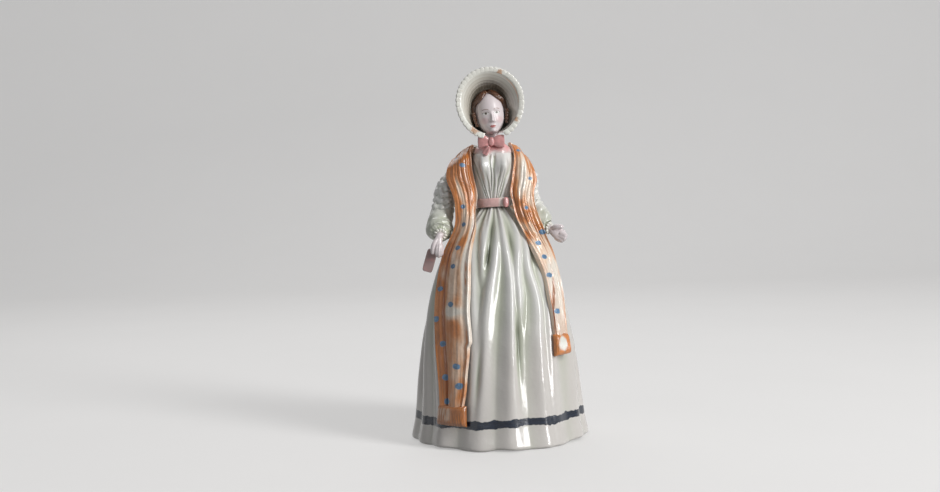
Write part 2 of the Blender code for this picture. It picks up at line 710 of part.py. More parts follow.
def make_frill(material):
    """Pie-crust edge round the brim."""
    turns = np.linspace(-BRIM_END, BRIM_END, FRILL_SCALLOPS * 2 + 1)
    wave = np.cos(turns * FRILL_SCALLOPS * math.pi / BRIM_END)
    inner = BRIM_RADIUS + BONNET_WALL + LUTE_GAP
    outer = inner + FRILL_WIDTH * (0.82 + 0.18 * wave)
    lift = np.stack((0 * wave, 0.35 * MM * wave, 0 * wave), axis=1)
    deep = np.array((0, FRILL_THICKNESS / 2, 0))
    corners = (
        brim_rim(turns, inner) - deep,
        brim_rim(turns, outer) - deep * 0.6 + lift,
        brim_rim(turns, outer) + deep * 0.6 + lift,
        brim_rim(turns, inner) + deep,
    )
    loft("brim_frill", head_to_world(np.stack(corners, axis=1)), material)


# Bow under the chin


def make_bow_loop(name, side, material):
    """Full ribbon loop beside the knot."""
    along = np.linspace(0, 1, 7)
    start = BOW_KNOT_HALF_SIZES[0] + LUTE_GAP
    x = BOW_CENTRE[0] + side * (start + BOW_LOOP_LENGTH * along)
    y = BOW_CENTRE[1] + 0.7 * MM * along**2
    z = BOW_CENTRE[2] + 0.3 * MM * np.sin(math.pi * along)
    full = through((0, 0.35, 0.85, 1), (0.6, 0.95, 1.0, 0.72), along)
    path = np.stack((x, y, z), axis=1)
    high = np.array((0, 0, 1.0))
    turn = turn_samples(12)[None, :, None]
    rings = path[:, None] + np.cos(turn) * high * (BOW_LOOP_HALF_HEIGHT * full)[:, None, None]
    rings = rings + np.sin(turn) * np.array((0, 1.0, 0)) * (BOW_LOOP_HALF_DEPTH * full)[:, None, None]
    loft(name, rings, material)


def make_bow_tail(material):
    """Ribbon end that falls from the knot over the collar, towards her right."""
    along = np.linspace(0, 1, 6)
    x = BOW_CENTRE[0] - 1.2 * MM - 3.0 * MM * along
    y = BOW_CENTRE[1] - 1.9 * MM + 0.5 * MM * along
    z = BOW_CENTRE[2] - BOW_KNOT_HALF_SIZES[2] - LUTE_GAP - BOW_TAIL_LENGTH * along
    wide = BOW_TAIL_HALF_WIDTH * (0.6 + 0.4 * along)
    path = np.stack((x, y, z), axis=1)
    loft("bow_tail", tube_rings(path, wide, np.full(6, BOW_TAIL_HALF_DEPTH), 10), material)


# Sleeves, cuffs, hands and book


def sleeve_path(stations, side, at):
    """Points and radii of a sleeve, side -1 for her right and 1 for her left."""
    read = through(np.arange(len(stations)), stations, at)
    points = read[:, :3] * (side, 1, 1) + (side * SHOULDER_HALF_WIDTH, 0, SHOULDER_HEIGHT)
    return points, read[:, 3]


def make_sleeve(name, stations, side, material):
    """Ruched upper sleeve and full lower sleeve, with a socket for the wrist."""
    last = len(stations) - 1
    plain = np.array((0, 1, RUCHE_START))
    ruched = np.linspace(RUCHE_START, RUCHE_END, RUCHE_COUNT * 4 + 1)[1:]
    full = np.linspace(RUCHE_END, last, 9)[1:]
    at = np.concatenate((plain, ruched, full))
    points, radii = sleeve_path(stations, side, at)
    share = np.clip((at - RUCHE_START) / (RUCHE_END - RUCHE_START), 0, 1)
    radii = radii + RUCHE_RISE * np.sin(math.pi * RUCHE_COUNT * share) ** 2
    rings = tube_rings(points, radii, radii, SLEEVE_SIDES)
    middle, along, wide, high = cuff_frame(stations, side)
    turn = turn_samples(SLEEVE_SIDES)[:, None]
    spoke = np.cos(turn) * wide + np.sin(turn) * high
    bore = spoke * (WRIST_RADIUS + 1.5 * LUTE_GAP)
    mouth = (middle + spoke * radii[-1], middle + bore, middle + bore - along * WRIST_SOCKET)
    loft(name, np.concatenate((rings[:-1], mouth)), material)


def cuff_frame(stations, side):
    """Middle of the sleeve's mouth, and the directions along and across it."""
    points, _ = sleeve_path(stations, side, np.linspace(0, len(stations) - 1, 60))
    tangent, side_way, up = frames_along(points)
    return points[-1], tangent[-1], side_way[-1], up[-1]


def make_cuff(name, stations, side, material):
    """Lace edge round the wrist, in front of the sleeve's mouth."""
    middle, along, wide, high = cuff_frame(stations, side)
    turn = turn_samples(CUFF_SCALLOPS * 2)
    wave = np.cos(turn * CUFF_SCALLOPS)
    spoke = np.cos(turn)[:, None] * wide + np.sin(turn)[:, None] * high
    inner = WRIST_RADIUS + LUTE_GAP
    outer = (inner + CUFF_WIDTH * (0.85 + 0.15 * wave))[:, None]
    near, far = middle + along * LUTE_GAP, middle + along * (LUTE_GAP + CUFF_LENGTH)
    corners = (near + spoke * inner, near + spoke * outer * 0.92, far + spoke * outer, far + spoke * inner)
    loft(name, np.stack(corners, axis=1), material, ring_tube=True)


def make_hand(name, stations, thumb, sleeve, side, material):
    """Hand with its wrist's peg, joined to a thumb."""
    middle, along, _, _ = cuff_frame(sleeve, side)
    read = through(np.arange(len(stations)), stations, np.linspace(0, len(stations) - 1, 13))
    path = middle + read[:, :3]
    in_socket = 4
    peg = np.linspace(-WRIST_SOCKET + LUTE_GAP, CUFF_LENGTH + 2 * LUTE_GAP, in_socket)[:, None]
    path[:in_socket] = middle + along * peg
    peg_radius = np.full(in_socket, WRIST_RADIUS)
    widths = np.concatenate((peg_radius, read[in_socket:, 3]))
    depths = np.concatenate((peg_radius, read[in_socket:, 4]))
    hand = loft(name, tube_rings(path, widths, depths, 12), material)
    thumb_path = middle + through((0, 1, 2), thumb, np.linspace(0, 2, 7))
    taper = THUMB_RADIUS * np.array((0.7, 1, 1.05, 1, 0.95, 0.8, 0.4))
    guide = loft(name + "_thumb", tube_rings(thumb_path, taper, taper, 8), material)
    join_cut(hand, guide, "UNION")


def make_book(material):
    """Closed book with rounded edges, held by its top."""
    middle, _, _, _ = cuff_frame(RIGHT_SLEEVE, -1)
    bpy.ops.mesh.primitive_cube_add(size=1)
    book = bpy.context.object
    book.name = book.data.name = "small_book"
    book.data.transform(Matrix.Diagonal((*BOOK_SIZES, 1)))
    for collection in list(book.users_collection):
        collection.objects.unlink(book)
    figure.objects.link(book)
    book.location = middle + BOOK_CENTRE
    book.rotation_euler = (0, BOOK_LEAN, 0)
    rounded = book.modifiers.new("Bevel", "BEVEL")
    rounded.width = BOOK_ROUND
    rounded.segments = 2
    book.data.materials.append(material)


# Shawl


def hung_rows(stations, side, columns):
    """Rows above the waist, each from its outer to its inner edge with a bulge between."""
    share = np.linspace(0, 1, columns)[:, None]
    rows = []
    for station in stations:
        outer = station[:3] + (side * SHOULDER_HALF_WIDTH, 0, BODICE_BASE)
        inner = station[3:6] + (0, 0, BODICE_BASE)
        across = inner - outer
        level = abs(across[2]) < abs(across[0])
        out = np.cross(across, (0, 0, 1.0) if level else (0, 1.0, 0))
        out *= -np.sign(out[1] if level else -out[2]) / np.linalg.norm(out)
        rows.append(outer + across * share + out * station[6] * np.sin(math.pi * share))
    return rows


def laid_rows(stations, columns):
    """Rows on the skirt, each from its outer to its inner edge."""
    share = np.linspace(0, 1, columns)
    rows = []
    for height, outer, inner, outer_rise, inner_rise in stations:
        azimuth = np.radians(outer + (inner - outer) * share)
        rise = outer_rise + (inner_rise - outer_rise) * share
        rows.append(on_skirt(height * SKIRT_HEIGHT, azimuth, rise))
    return rows


def pleated(grid, outward):
    """Grid with long pleats that rise and fall across it, towards and away from what it lies on."""
    columns = grid.shape[1]
    wave = np.cos(np.linspace(0, 2 * math.pi * SHAWL_PLEATS, columns)) * SHAWL_PLEAT_RISE
    away = outward / np.linalg.norm(outward, axis=2, keepdims=True)
    return grid + away * wave[None, :, None]


def make_panel(name, top, skirt_rows, side, material):
    rows = np.array(hung_rows(top, side, 9) + laid_rows(skirt_rows, 9))
    grid = through(np.arange(len(rows)), rows, np.linspace(0, len(rows) - 1, 19))
    outward = grid * (1, 1, 0)
    slab(name, pleated(grid, outward), SHAWL_THICKNESS, outward, material)


def make_shawl_end(name, skirt_rows, side, material):
    """Thick fringed border below a front panel."""
    share, outer, inner, _, _ = skirt_rows[-1]
    top = share - 1.6 * LUTE_GAP / SKIRT_HEIGHT
    overhang = side * math.degrees(END_OVERHANG)
    edges = (outer + overhang, inner - overhang, DRAPE_GAP, DRAPE_GAP)
    rows = np.array(laid_rows(((top, *edges), (top - END_HEIGHT / SKIRT_HEIGHT, *edges)), 9))
    grid = through((0, 1), rows, np.linspace(0, 1, 5))
    slab(name, grid, END_THICKNESS, grid * (1, 1, 0), material)


def make_shawl_back(material):
    columns = 7
    share = np.linspace(0, 1, columns)[:, None]
    lower, upper, bulges = [], [], []
    for side, stations in ((-1, BACK_RIGHT), (1, BACK_LEFT)):
        for station in stations:
            lower.append(station[:3] + (side * SHOULDER_HALF_WIDTH, 0, BODICE_BASE))
            upper.append(station[3:6] + (0, 0, BODICE_BASE))
            bulges.append(station[6])
    for place, (fall, neck) in enumerate(zip(BACK_FALL[::-1], BACK_NECK[::-1])):
        height, azimuth, rise = fall
        lower.insert(2 + place, on_skirt(height * SKIRT_HEIGHT, math.radians(azimuth), rise))
        upper.insert(2 + place, neck[:3] + (0, 0, BODICE_BASE))
        bulges.insert(2 + place, neck[3])
    rows = []
    for low, high, bulge in zip(lower, upper, bulges):
        out = low * (1, 1, 0)
        out = out / np.linalg.norm(out) + (0, 0, 0.6)
        rows.append(low + (high - low) * share + out * bulge * np.sin(math.pi * share))
    grid = through(np.arange(len(rows)), rows, np.linspace(0, len(rows) - 1, 19))
    slab("shawl_back", grid, SHAWL_THICKNESS, grid * (1, 1, 0) + (0, 0, 10 * MM), material)


clear_scene()
figure = bpy.data.collections.new("porcelain_lady_figurine")
guides = bpy.data.collections.new("guides")
bpy.context.scene.collection.children.link(figure)
bpy.context.scene.collection.children.link(guides)

white = glaze("white_glaze", WHITE, 0.12)
celadon = glaze("celadon_glaze", CELADON, 0.12)
flesh = glaze("flesh_glaze", FLESH, 0.15)
rose = glaze("rose_glaze", ROSE, 0.15)
ochre = glaze("ochre_glaze", OCHRE, 0.15)
brown = glaze("brown_glaze", BROWN, 0.18)
bisque = glaze("bisque", BISQUE, 0.7)

make_skirt(celadon)
make_base_plate(bisque)
make_bodice(celadon)
bodice_band("belt", 0.1 * MM, BELT_HEIGHT, 3, BELT_THICKNESS, rose)
bodice_band("collar", COLLAR_START, BODICE_STATIONS[-1, 0], 5, COLLAR_THICKNESS, rose)
make_sash_knot(rose)
make_head(flesh)
make_hair(brown)
make_ringlet("right_ringlet", -1, brown)
make_ringlet("left_ringlet", 1, brown)
make_crown(white)
make_brim(white)
make_frill(white)
ellipsoid("bow_knot", BOW_CENTRE, BOW_KNOT_HALF_SIZES, Euler((0, 0, 0)), rose)
make_bow_loop("right_bow_loop", -1, rose)
make_bow_loop("left_bow_loop", 1, rose)
make_bow_tail(rose)
make_sleeve("right_sleeve", RIGHT_SLEEVE, -1, celadon)
make_sleeve("left_sleeve", LEFT_SLEEVE, 1, celadon)
make_cuff("right_cuff", RIGHT_SLEEVE, -1, white)
make_cuff("left_cuff", LEFT_SLEEVE, 1, white)
make_hand("right_hand", RIGHT_HAND, RIGHT_THUMB, RIGHT_SLEEVE, -1, flesh)
make_hand("left_hand", LEFT_HAND, LEFT_THUMB, LEFT_SLEEVE, 1, flesh)
make_book(white)
make_panel("shawl_right_front", RIGHT_PANEL_TOP, RIGHT_PANEL_SKIRT, -1, ochre)
make_panel("shawl_left_front", LEFT_PANEL_TOP, LEFT_PANEL_SKIRT, 1, ochre)
make_shawl_end("shawl_right_end", RIGHT_PANEL_SKIRT, -1, ochre)
make_shawl_end("shawl_left_end", LEFT_PANEL_SKIRT, 1, ochre)
make_shawl_back(ochre)
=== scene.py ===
"""Glazed porcelain lady: the looks of a figurine, on the frame that its solids give.

Metres, +Z up, the lady faces -Y, and right and left are her own. Every new surface is a grid of points from
a formula in two parameters. Lengths inside the formulas are in millimetres, as are the attributes that the
materials read.
"""

import math

import bpy
import numpy as np
from bpy.props import FloatProperty, FloatVectorProperty, IntProperty, PointerProperty
from bpy.types import Operator, Panel, PropertyGroup
from mathutils import Euler, Matrix, Vector


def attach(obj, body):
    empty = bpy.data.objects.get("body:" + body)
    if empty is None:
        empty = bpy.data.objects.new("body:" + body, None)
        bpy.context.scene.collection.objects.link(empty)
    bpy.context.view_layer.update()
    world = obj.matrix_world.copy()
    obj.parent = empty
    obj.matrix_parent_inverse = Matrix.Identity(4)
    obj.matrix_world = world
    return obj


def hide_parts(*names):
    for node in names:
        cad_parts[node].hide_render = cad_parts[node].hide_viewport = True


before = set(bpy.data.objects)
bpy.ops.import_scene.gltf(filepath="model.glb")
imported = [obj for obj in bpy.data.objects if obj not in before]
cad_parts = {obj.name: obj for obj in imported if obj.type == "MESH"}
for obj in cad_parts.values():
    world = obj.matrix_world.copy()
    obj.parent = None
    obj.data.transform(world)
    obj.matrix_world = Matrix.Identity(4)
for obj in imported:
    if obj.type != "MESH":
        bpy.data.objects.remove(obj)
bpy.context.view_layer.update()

bl_info = {
    "name": "Porcelain Lady",
    "version": (1, 0, 0),
    "blender": (4, 5, 0),
    "location": "View3D > Sidebar > Porcelain",
    "description": "Builds a glazed porcelain figurine of a lady in a bonnet and a dotted shawl",
    "category": "Add Mesh",
}

MM = 0.001
TAU = 2 * math.pi

# Shapes that follow the solids, in millimetres
SKIRT_TOP = 130.8
HEM = np.array((50.0, 47.0))
WAIST = np.array((9.4, 8.6))
SKIRT_FLARE, SKIRT_ROUND = 5, 0.72  # how fast the bell opens, and the rounded share of its flare
HEM_ROLL, HEM_KICK, BAND_HEIGHT = 2.0, 1.3, 14.3
FOLD_HEIGHTS = (0, 17, 60, 81, 100, 118, 131)
FOLD_DEPTHS = (2.4, 3.2, 3.6, 3.3, 2.9, 2.2, 1.2)
FOLD_WIDTHS = (8.0, 7.6, 6.6, 6.0, 6.0, 7.2, 9.0)
BODICE_BASE = 131.1
# Height above the waist, half width, and depth in front and behind
BODICE_STATIONS = np.array(
    (
        (0.0, 9.2, -8.4, 8.2),
        (5.0, 9.4, -8.8, 8.4),
        (11.0, 10.4, -10.4, 8.9),
        (18.0, 11.6, -12.6, 9.3),
        (23.0, 12.0, -13.2, 9.4),
        (27.5, 12.0, -11.8, 8.8),
        (31.5, 10.6, -9.6, 7.4),
        (34.5, 8.0, -8.0, 5.2),
        (36.3, 5.6, -7.2, 3.2),
    )
)
BODICE_TOP = BODICE_STATIONS[-1, 0]
SWELL_RISE, SWELL_HEIGHT, SWELL_SPREAD = 3.2, 23.3, 5.6
SWELL_AZIMUTH, SWELL_WIDTH = math.radians(19), math.radians(13)
YOKE_BASE = 28.6
SASH_WIDTH, SASH_THICKNESS, SASH_SEAT, SASH_TILT = 5.0, 1.2, 0.3, 0.045
TIE_AZIMUTH, TIE_HALF_SIZES = math.radians(27), (1.6, 1.3, 2.9)
HEAD_CENTRE = np.array((-1.3, -4.5, 183.5))
HEAD_TURN = np.array(Euler((0, -math.radians(6), math.radians(5))).to_matrix())
HEAD = np.array((8.2, 9.2, 11.7))
FACE_HALF_HEIGHT = 12.7  # of the head on which the features are laid out
NECK_RADIUS, NECK_BASE, NECK_LEAD = 3.9, 167.4, 2.0
HAIR_REACH, HAIR_BODY = 112, 1.65  # degrees from the parting, and thickness
RINGLET_RADIUS, RINGLET_LENGTH, RINGLET_BEADS = 1.28, 8.6, 5
CROWN_RISE = 2.1
BRIM_RADIUS, BRIM_RISE, BRIM_REACH, BRIM_END = 16.3, 6.5, 9.5, math.radians(162)
BONNET_WALL, CROWN_GATHER, FRILL_WIDTH = 1.3, 0.22, 3.1
BOW = np.array((-1.0, -11.2, 167.7))
BOW_KNOT_HALF_SIZES = (1.7, 1.9, 2.5)
BOW_LOOP_LENGTH, BOW_LOOP_HALF_DEPTH, BOW_LOOP_HALF_HEIGHT = 6.2, 1.6, 3.5
BOW_TAIL_HALF_WIDTH, BOW_TAIL_HALF_DEPTH, BOW_TAIL_DROP = 1.8, 0.85, 4.6
# Sleeves, from the shoulder, mirrored for her right: place and radius
SHOULDER = np.array((15.3, 0.0, 154.1))
RIGHT_SLEEVE = np.array(
    (
        (0.0, 1.0, 0.0, 4.6),
        (3.6, 0.6, -3.0, 5.0),
        (8.3, 0.0, -7.6, 5.3),
        (12.3, -0.5, -13.4, 5.8),
        (13.4, -1.5, -20.8, 5.9),
        (15.0, -3.0, -27.8, 6.9),
        (16.0, -6.5, -33.8, 7.7),
        (15.9, -10.5, -36.6, 6.4),
        (15.7, -13.0, -37.4, 3.4),
    )
)
LEFT_SLEEVE = np.array(
    (
        (0.0, 1.0, 0.0, 4.6),
        (3.2, 0.6, -3.8, 4.8),
        (4.8, 0.3, -8.4, 5.0),
        (4.7, -0.2, -14.4, 4.9),
        (6.3, -1.5, -21.6, 4.9),
        (9.1, -4.0, -27.0, 5.8),
        (10.9, -6.5, -31.0, 6.2),
        (12.9, -8.5, -34.9, 4.6),
        (14.4, -9.4, -35.5, 3.2),
    )
)
RUCHE_START, RUCHE_END, RUCHE_ROWS = 1.4, 4.6, 6  # sleeve stations, and rows between them
LACE_RADIUS, LACE_WIDTH, LACE_BEADS = 1.6, 2.2, 11
# Hands, from the cuff's middle: palm stations with half width and half depth, then points and radii of the
# fingers and the thumb
RIGHT_PALM = (
    (-0.5, -2.4, -0.6, 1.7, 1.6),
    (-1.1, -4.2, -3.4, 2.3, 1.7),
    (-1.6, -4.8, -6.8, 2.5, 1.8),
    (-1.8, -4.4, -10.2, 2.1, 1.6),
)
RIGHT_DIGITS = (
    (
        ((-1.4, -5.6, -4.6), (-1.9, -6.6, -7.8), (-2.1, -6.4, -10.8), (-2.1, -5.0, -12.3)),
        (0.85, 1.0, 0.95, 0.7),
    ),
    (
        ((-0.4, -5.8, -4.8), (-0.8, -6.8, -8.0), (-1.0, -6.6, -11.2), (-1.1, -5.2, -12.6)),
        (0.85, 1.0, 0.95, 0.7),
    ),
    (
        ((0.5, -5.4, -5.0), (0.3, -6.4, -8.0), (0.1, -6.2, -11.0), (-0.1, -4.8, -12.2)),
        (0.8, 0.95, 0.9, 0.7),
    ),
    (
        ((1.0, -4.4, -5.2), (1.1, -5.2, -8.0), (0.9, -5.0, -10.6), (0.7, -4.0, -11.6)),
        (0.75, 0.85, 0.8, 0.6),
    ),
    (
        ((-1.2, -4.6, -1.8), (-3.4, -5.6, -5.0), (-4.2, -5.8, -8.2), (-4.2, -5.4, -11.2)),
        (1.1, 1.3, 1.35, 1.05),
    ),
)
LEFT_PALM = (
    (1.8, -0.8, -1.0, 2.1, 1.7),
    (4.0, -1.6, -2.6, 3.1, 1.8),
    (6.8, -2.4, -4.3, 3.7, 1.7),
    (9.4, -3.0, -5.8, 2.9, 1.3),
)
LEFT_DIGITS = (
    (((3.6, -1.6, -5.0), (6.2, -2.8, -6.4), (8.8, -3.6, -7.2)), (1.6, 1.9, 1.7)),
    (((4.8, -2.2, -4.2), (7.8, -3.4, -5.6), (10.0, -4.1, -6.4)), (1.6, 1.9, 1.75)),
    (((5.8, -2.4, -3.2), (8.4, -3.5, -4.5), (10.3, -4.2, -5.3)), (1.6, 1.8, 1.7)),
    (((1.8, -1.6, -0.4), (4.8, -3.2, 0.4), (8.6, -3.8, 0.5)), (1.3, 1.5, 1.2)),
)
HAND_VOXEL = 0.16
# Small book, from the right cuff's middle
BOOK_HALF_SIZES, BOOK_PLACE, BOOK_LEAN = (2.9, 1.6, 6.5), (-6.2, -0.5, -14.6), math.radians(17)

SHAWL_THICKNESS, END_THICKNESS = 1.6, 2.6
FAR = 99.0  # from any dot
# Rows of the shawl's fronts above the waist: outer edge, inner edge and bulge
RIGHT_PANEL_TOP = (
    (-22.2, 0.2, 157.3, -11.0, -1.6, 165.8, 1.5),
    (-25.0, -6.5, 152.5, -13.0, -7.2, 159.5, 2.2),
    (-25.9, -8.6, 146.5, -12.6, -8.8, 151.0, 2.2),
    (-23.3, -10.4, 139.5, -11.4, -9.4, 142.5, 2.0),
    (-21.6, -11.6, 131.5, -10.8, -11.2, 132.0, 2.0),
)
LEFT_PANEL_TOP = (
    (18.3, 0.2, 157.4, 8.9, -1.6, 166.8, 1.1),
    (20.9, -5.6, 152.2, 12.2, -7.0, 158.2, 2.0),
    (23.2, -7.4, 145.6, 10.9, -8.6, 148.4, 2.2),
    (21.6, -9.2, 138.6, 10.1, -9.4, 139.6, 2.0),
    (22.4, -11.6, 129.6, 10.8, -11.2, 130.6, 1.6),
)
# Rows on the skirt: height, azimuths of the outer and inner edge, and how far each stands off the ridges
RIGHT_PANEL_SKIRT = (
    (119.6, -62, -32, 5.2, 1.5),
    (102.5, -67, -27, 1.2, 1.4),
    (80.0, -58.5, -24, 1.2, 1.2),
    (57.0, -51, -22.2, 1.2, 1.2),
    (38.0, -45.5, -23, 1.2, 1.2),
    (23.0, -43, -24.6, 1.2, 1.2),
)
LEFT_PANEL_SKIRT = (
    (117.5, 59.5, 42.7, 9.9, 1.4),
    (101.5, 76, 43, 1.6, 1.4),
    (85.0, 67, 45, 1.2, 1.2),
    (70.0, 60.5, 44.5, 1.2, 1.2),
    (59.0, 58.5, 44, 1.2, 1.2),
)
# The glazed fronts sink this far into the glaze of the skirt, so no gap shows
LAY = 0.9
# Borders, two rows each: height, azimuths of the outer and inner edge, and how far they stand off
RIGHT_END = ((24.6, -44.4, -23, 0.5), (13.4, -45.2, -22.6, 0.5))
LEFT_END = ((60.6, 59.2, 43, 0.5), (48.8, 60.4, 41.6, 0.5))
# Rows of the shawl's back from her right to her left: lower edge, neck edge and bulge
BACK_ROWS = (
    (-21.8, -2.0, 156.8, -11.0, -3.0, 165.2, 1.2),
    (-26.4, 9.0, 146.0, -8.4, 6.8, 165.6, 1.4),
    (-20.2, 14.1, 127.0, -4.4, 10.4, 164.2, -0.6),
    (0.0, 21.0, 118.5, 0.0, 11.4, 163.6, -2.0),
    (20.2, 14.1, 127.0, 4.4, 10.4, 164.2, -0.6),
    (21.6, 8.6, 148.4, 8.4, 6.8, 165.4, 1.1),
    (18.0, -2.0, 157.0, 8.9, -3.0, 166.2, 0.9),
)
BACK_SPAN = 90  # shoulder to shoulder

# Folds of the skirt: azimuth in degrees and strength at each of FOLD_HEIGHTS
FRONT_FOLDS = (
    ((-19, -19, -20, -22, -26, -35, -48), (0.7, 0.7, 0.8, 0.85, 0.85, 0.9, 0.9)),
    ((-14, -14, -14, -14, -14, -17, -14), (0.0, 0.0, 0.0, 0.0, 0.85, 1.0, 1.0)),
    ((-15, -15, -12, -8.5, -3, 3, 8), (0.8, 0.8, 1.0, 1.0, 0.95, 0.6, 0.0)),
    ((6, 6.5, 9, 11, 12, 10, 13), (0.9, 0.9, 1.0, 1.0, 1.0, 1.0, 1.0)),
    ((10, 10, 12, 17, 21, 33, 36), (0.0, 0.0, 0.4, 0.95, 1.0, 1.0, 1.0)),
    ((31, 31, 32, 35, 33, 46, 58), (0.8, 0.8, 0.95, 1.0, 1.0, 1.0, 1.0)),
    ((40, 40, 44, 47, 50, 66, 95), (0.65, 0.7, 0.8, 0.9, 1.0, 1.0, 1.0)),
)
SIDE_FOLDS = (64, 85, 105, 127, 148, 170, 191, 212, 233, 254, 276, 297, 318)

# Deep pockets between folds: azimuth, height, their half spreads, lean in degrees per mm, and depth
POCKETS = (
    (-10.5, 103.5, 2.6, 7.0, 0.14, 2.0),
    (14.3, 60.0, 2.7, 23.0, 0.04, 1.8),
    (-15.5, 42.0, 2.4, 20.0, 0.11, 1.5),
    (-8.0, 118.0, 3.0, 7.0, 0.1, 0.7),
    (18.0, 108.0, 2.4, 9.0, 0.3, 0.7),
    (160, 88.0, 3.2, 24.0, 0.1, 0.8),
    (215, 70.0, 3.2, 26.0, -0.1, 0.7),
    (120, 60.0, 3.2, 26.0, 0.1, 0.6),
    (262, 78.0, 3.2, 26.0, -0.1, 0.7),
)

# Blue dots of the shawl: share across from the outer edge, share down from the shoulder
RIGHT_DOTS = (
    (0.24, 0.04),
    (0.68, 0.135),
    (0.37, 0.398),
    (0.46, 0.488),
    (0.58, 0.569),
    (0.57, 0.617),
    (0.16, 0.672),
    (0.56, 0.707),
    (0.08, 0.742),
    (0.24, 0.799),
    (0.69, 0.857),
    (0.27, 0.892),
    (0.78, 0.917),
    (0.34, 0.977),
)
LEFT_DOTS = (
    (0.72, 0.045),
    (0.27, 0.221),
    (0.44, 0.446),
    (0.12, 0.561),
    (0.66, 0.608),
    (0.71, 0.662),
    (0.76, 0.727),
    (0.67, 0.867),
)
# Where the brush was loaded, or bare below 0: share across and down, their half spreads, and load
RIGHT_MARKS = (
    (0.6, 0.05, 0.5, 0.09, 0.6),
    (0.5, 0.5, 1.2, 0.6, 0.1),
    # Upper inner strip: painted shade as well as brushwork.
    (0.72, 0.25, 0.16, 0.13, 0.95),
    # Upper outer corner: painted shade as well as brushwork.
    (0.12, 0.2, 0.15, 0.12, 0.7),
    (0.36, 0.24, 0.13, 0.12, -0.5),
    (0.4, 0.16, 0.5, 0.12, 0.42),
    (0.15, 0.45, 0.12, 0.15, 0.3),
    # Lower outer strip: painted shade as well as brushwork.
    (0.12, 0.82, 0.17, 0.25, 0.3),
    (0.86, 0.58, 0.08, 0.13, -0.9),
    (0.74, 0.37, 0.15, 0.03, 0.4),
    (0.42, 0.46, 0.3, 0.06, -0.25),
    (0.6, 0.55, 0.2, 0.02, 0.35),
    (0.3, 0.6, 0.14, 0.03, 0.3),
    (0.12, 0.665, 0.1, 0.015, 0.7),
    (0.6, 0.724, 0.22, 0.013, -0.9),
    (0.62, 0.757, 0.16, 0.022, 0.4),
    (0.75, 0.81, 0.14, 0.04, -0.25),
    (0.96, 0.745, 0.05, 0.05, -1.2),
    (0.95, 0.85, 0.05, 0.035, 0.5),
    (0.05, 0.745, 0.08, 0.012, 0.7),
    (0.06, 0.785, 0.08, 0.015, 0.7),
    (0.7, 0.94, 0.25, 0.05, 0.15),
    (0.2, 0.9, 0.12, 0.06, 0.3),
)
LEFT_MARKS = (
    (0.65, 0.03, 0.4, 0.06, 0.45),
    (0.6, 0.17, 0.1, 0.12, -0.7),
    (0.35, 0.12, 0.1, 0.08, 0.3),
    (0.08, 0.16, 0.1, 0.14, 0.5),
    (0.95, 0.2, 0.06, 0.14, 0.45),
    (0.5, 0.3, 0.14, 0.06, -0.4),
    (0.85, 0.35, 0.12, 0.09, 0.55),
    (0.75, 0.41, 0.2, 0.025, 0.5),
    (0.5, 0.5, 0.8, 0.13, 0.18),
    (0.55, 0.49, 0.4, 0.03, 0.55),
    (0.2, 0.54, 0.2, 0.02, 0.55),
    (0.85, 0.57, 0.1, 0.02, 0.5),
    (0.35, 0.85, 0.5, 0.16, -1.3),
)
# Crease of each front: share down and share across
RIGHT_CREASE = ((0.52, 0.26), (0.7, 0.32), (1.0, 0.32))
LEFT_CREASE = ((0.58, 0.42), (0.67, 0.45), (0.86, 0.88), (1.0, 0.95))
# Dots of the back: share up from its lower edge, share round from her right
BACK_DOTS = (
    (0.25, 0.2),
    (0.6, 0.25),
    (0.3, 0.38),
    (0.7, 0.42),
    (0.22, 0.5),
    (0.55, 0.55),
    (0.3, 0.63),
    (0.65, 0.7),
    (0.3, 0.8),
)
# Azimuths of the blots in the hem band, in degrees
BAND_BLOTS = (-17, -5, 9, 33, 38, 52, 80, 104, 133, 160, 171, 205, 228, 262, 290, 318)
# Ochre dabs on the frill: turn and spread in degrees, strength
FRILL_DABS = ((26, 7.5, 1.0), (-141, 10, 1.05), (128, 5.5, 0.95), (-62, 5, 0.55), (60, 12, 0.5))

GLAZE_IOR, COAT_ROUGHNESS = 1.5, 0.07

# Stage: the paper's sweep, the camera with its pitch and roll in degrees, and the lamps with their sizes
PAPER_HALF_WIDTH, PAPER_FRONT, PAPER_FLAT, PAPER_BEND, PAPER_WALL = 3000, -2500, 3400, 700, 3200
PAPER_DROP = 0.05  # below the foot
CAMERA_PLACE, CAMERA_PITCH, CAMERA_ROLL = (-14.5, -646, 145), -3.2, -1.6
LAMP_AIM = (0, 0, 110)
LAMPS = (
    ("Key window", "key", (1150, -810, 680), (420, 1350)),
    ("Fill card", "fill", (-700, -420, 330), (700, 700)),
    ("Front card", "front", (250, -1180, 600), (500, 500)),
    ("Top card", "top", (-150, 480, 900), (900, 900)),
)


def through(knots, values, at):
    """Smooth cubic curve through values at rising knots, read at the numbers in at."""
    knots = np.asarray(knots, float)
    values = np.asarray(values, float)
    at = np.atleast_1d(np.asarray(at, float))
    slope = np.gradient(values, knots, axis=0)
    i = np.clip(np.searchsorted(knots, at, side="right") - 1, 0, len(knots) - 2)
    span = knots[i + 1] - knots[i]
    s = (at - knots[i]) / span
    shape = np.shape(at) + (1,) * (values.ndim - 1)
    s, span = s.reshape(shape), span.reshape(shape)
    start = values[i] * (1 + 2 * s) * (1 - s) ** 2 + values[i + 1] * s**2 * (3 - 2 * s)
    return start + span * (slope[i] * s * (1 - s) ** 2 + slope[i + 1] * s**2 * (s - 1))


def bell(distance, width):
    """Gaussian bump of height 1."""
    return np.exp(-((distance / width) ** 2))


def step(low, high, value):
    """Smooth step from 0 at low to 1 at high."""
    share = np.clip((value - low) / (high - low), 0, 1)
    return share * share * (3 - 2 * share)


def full_turn(count):
    """Angles of equal steps round a full turn."""
    return np.arange(count) * TAU / count


def apart(azimuth, place):
    """Azimuth from a place in degrees, between -180 and 180."""
    return (azimuth - place + 180) % 360 - 180


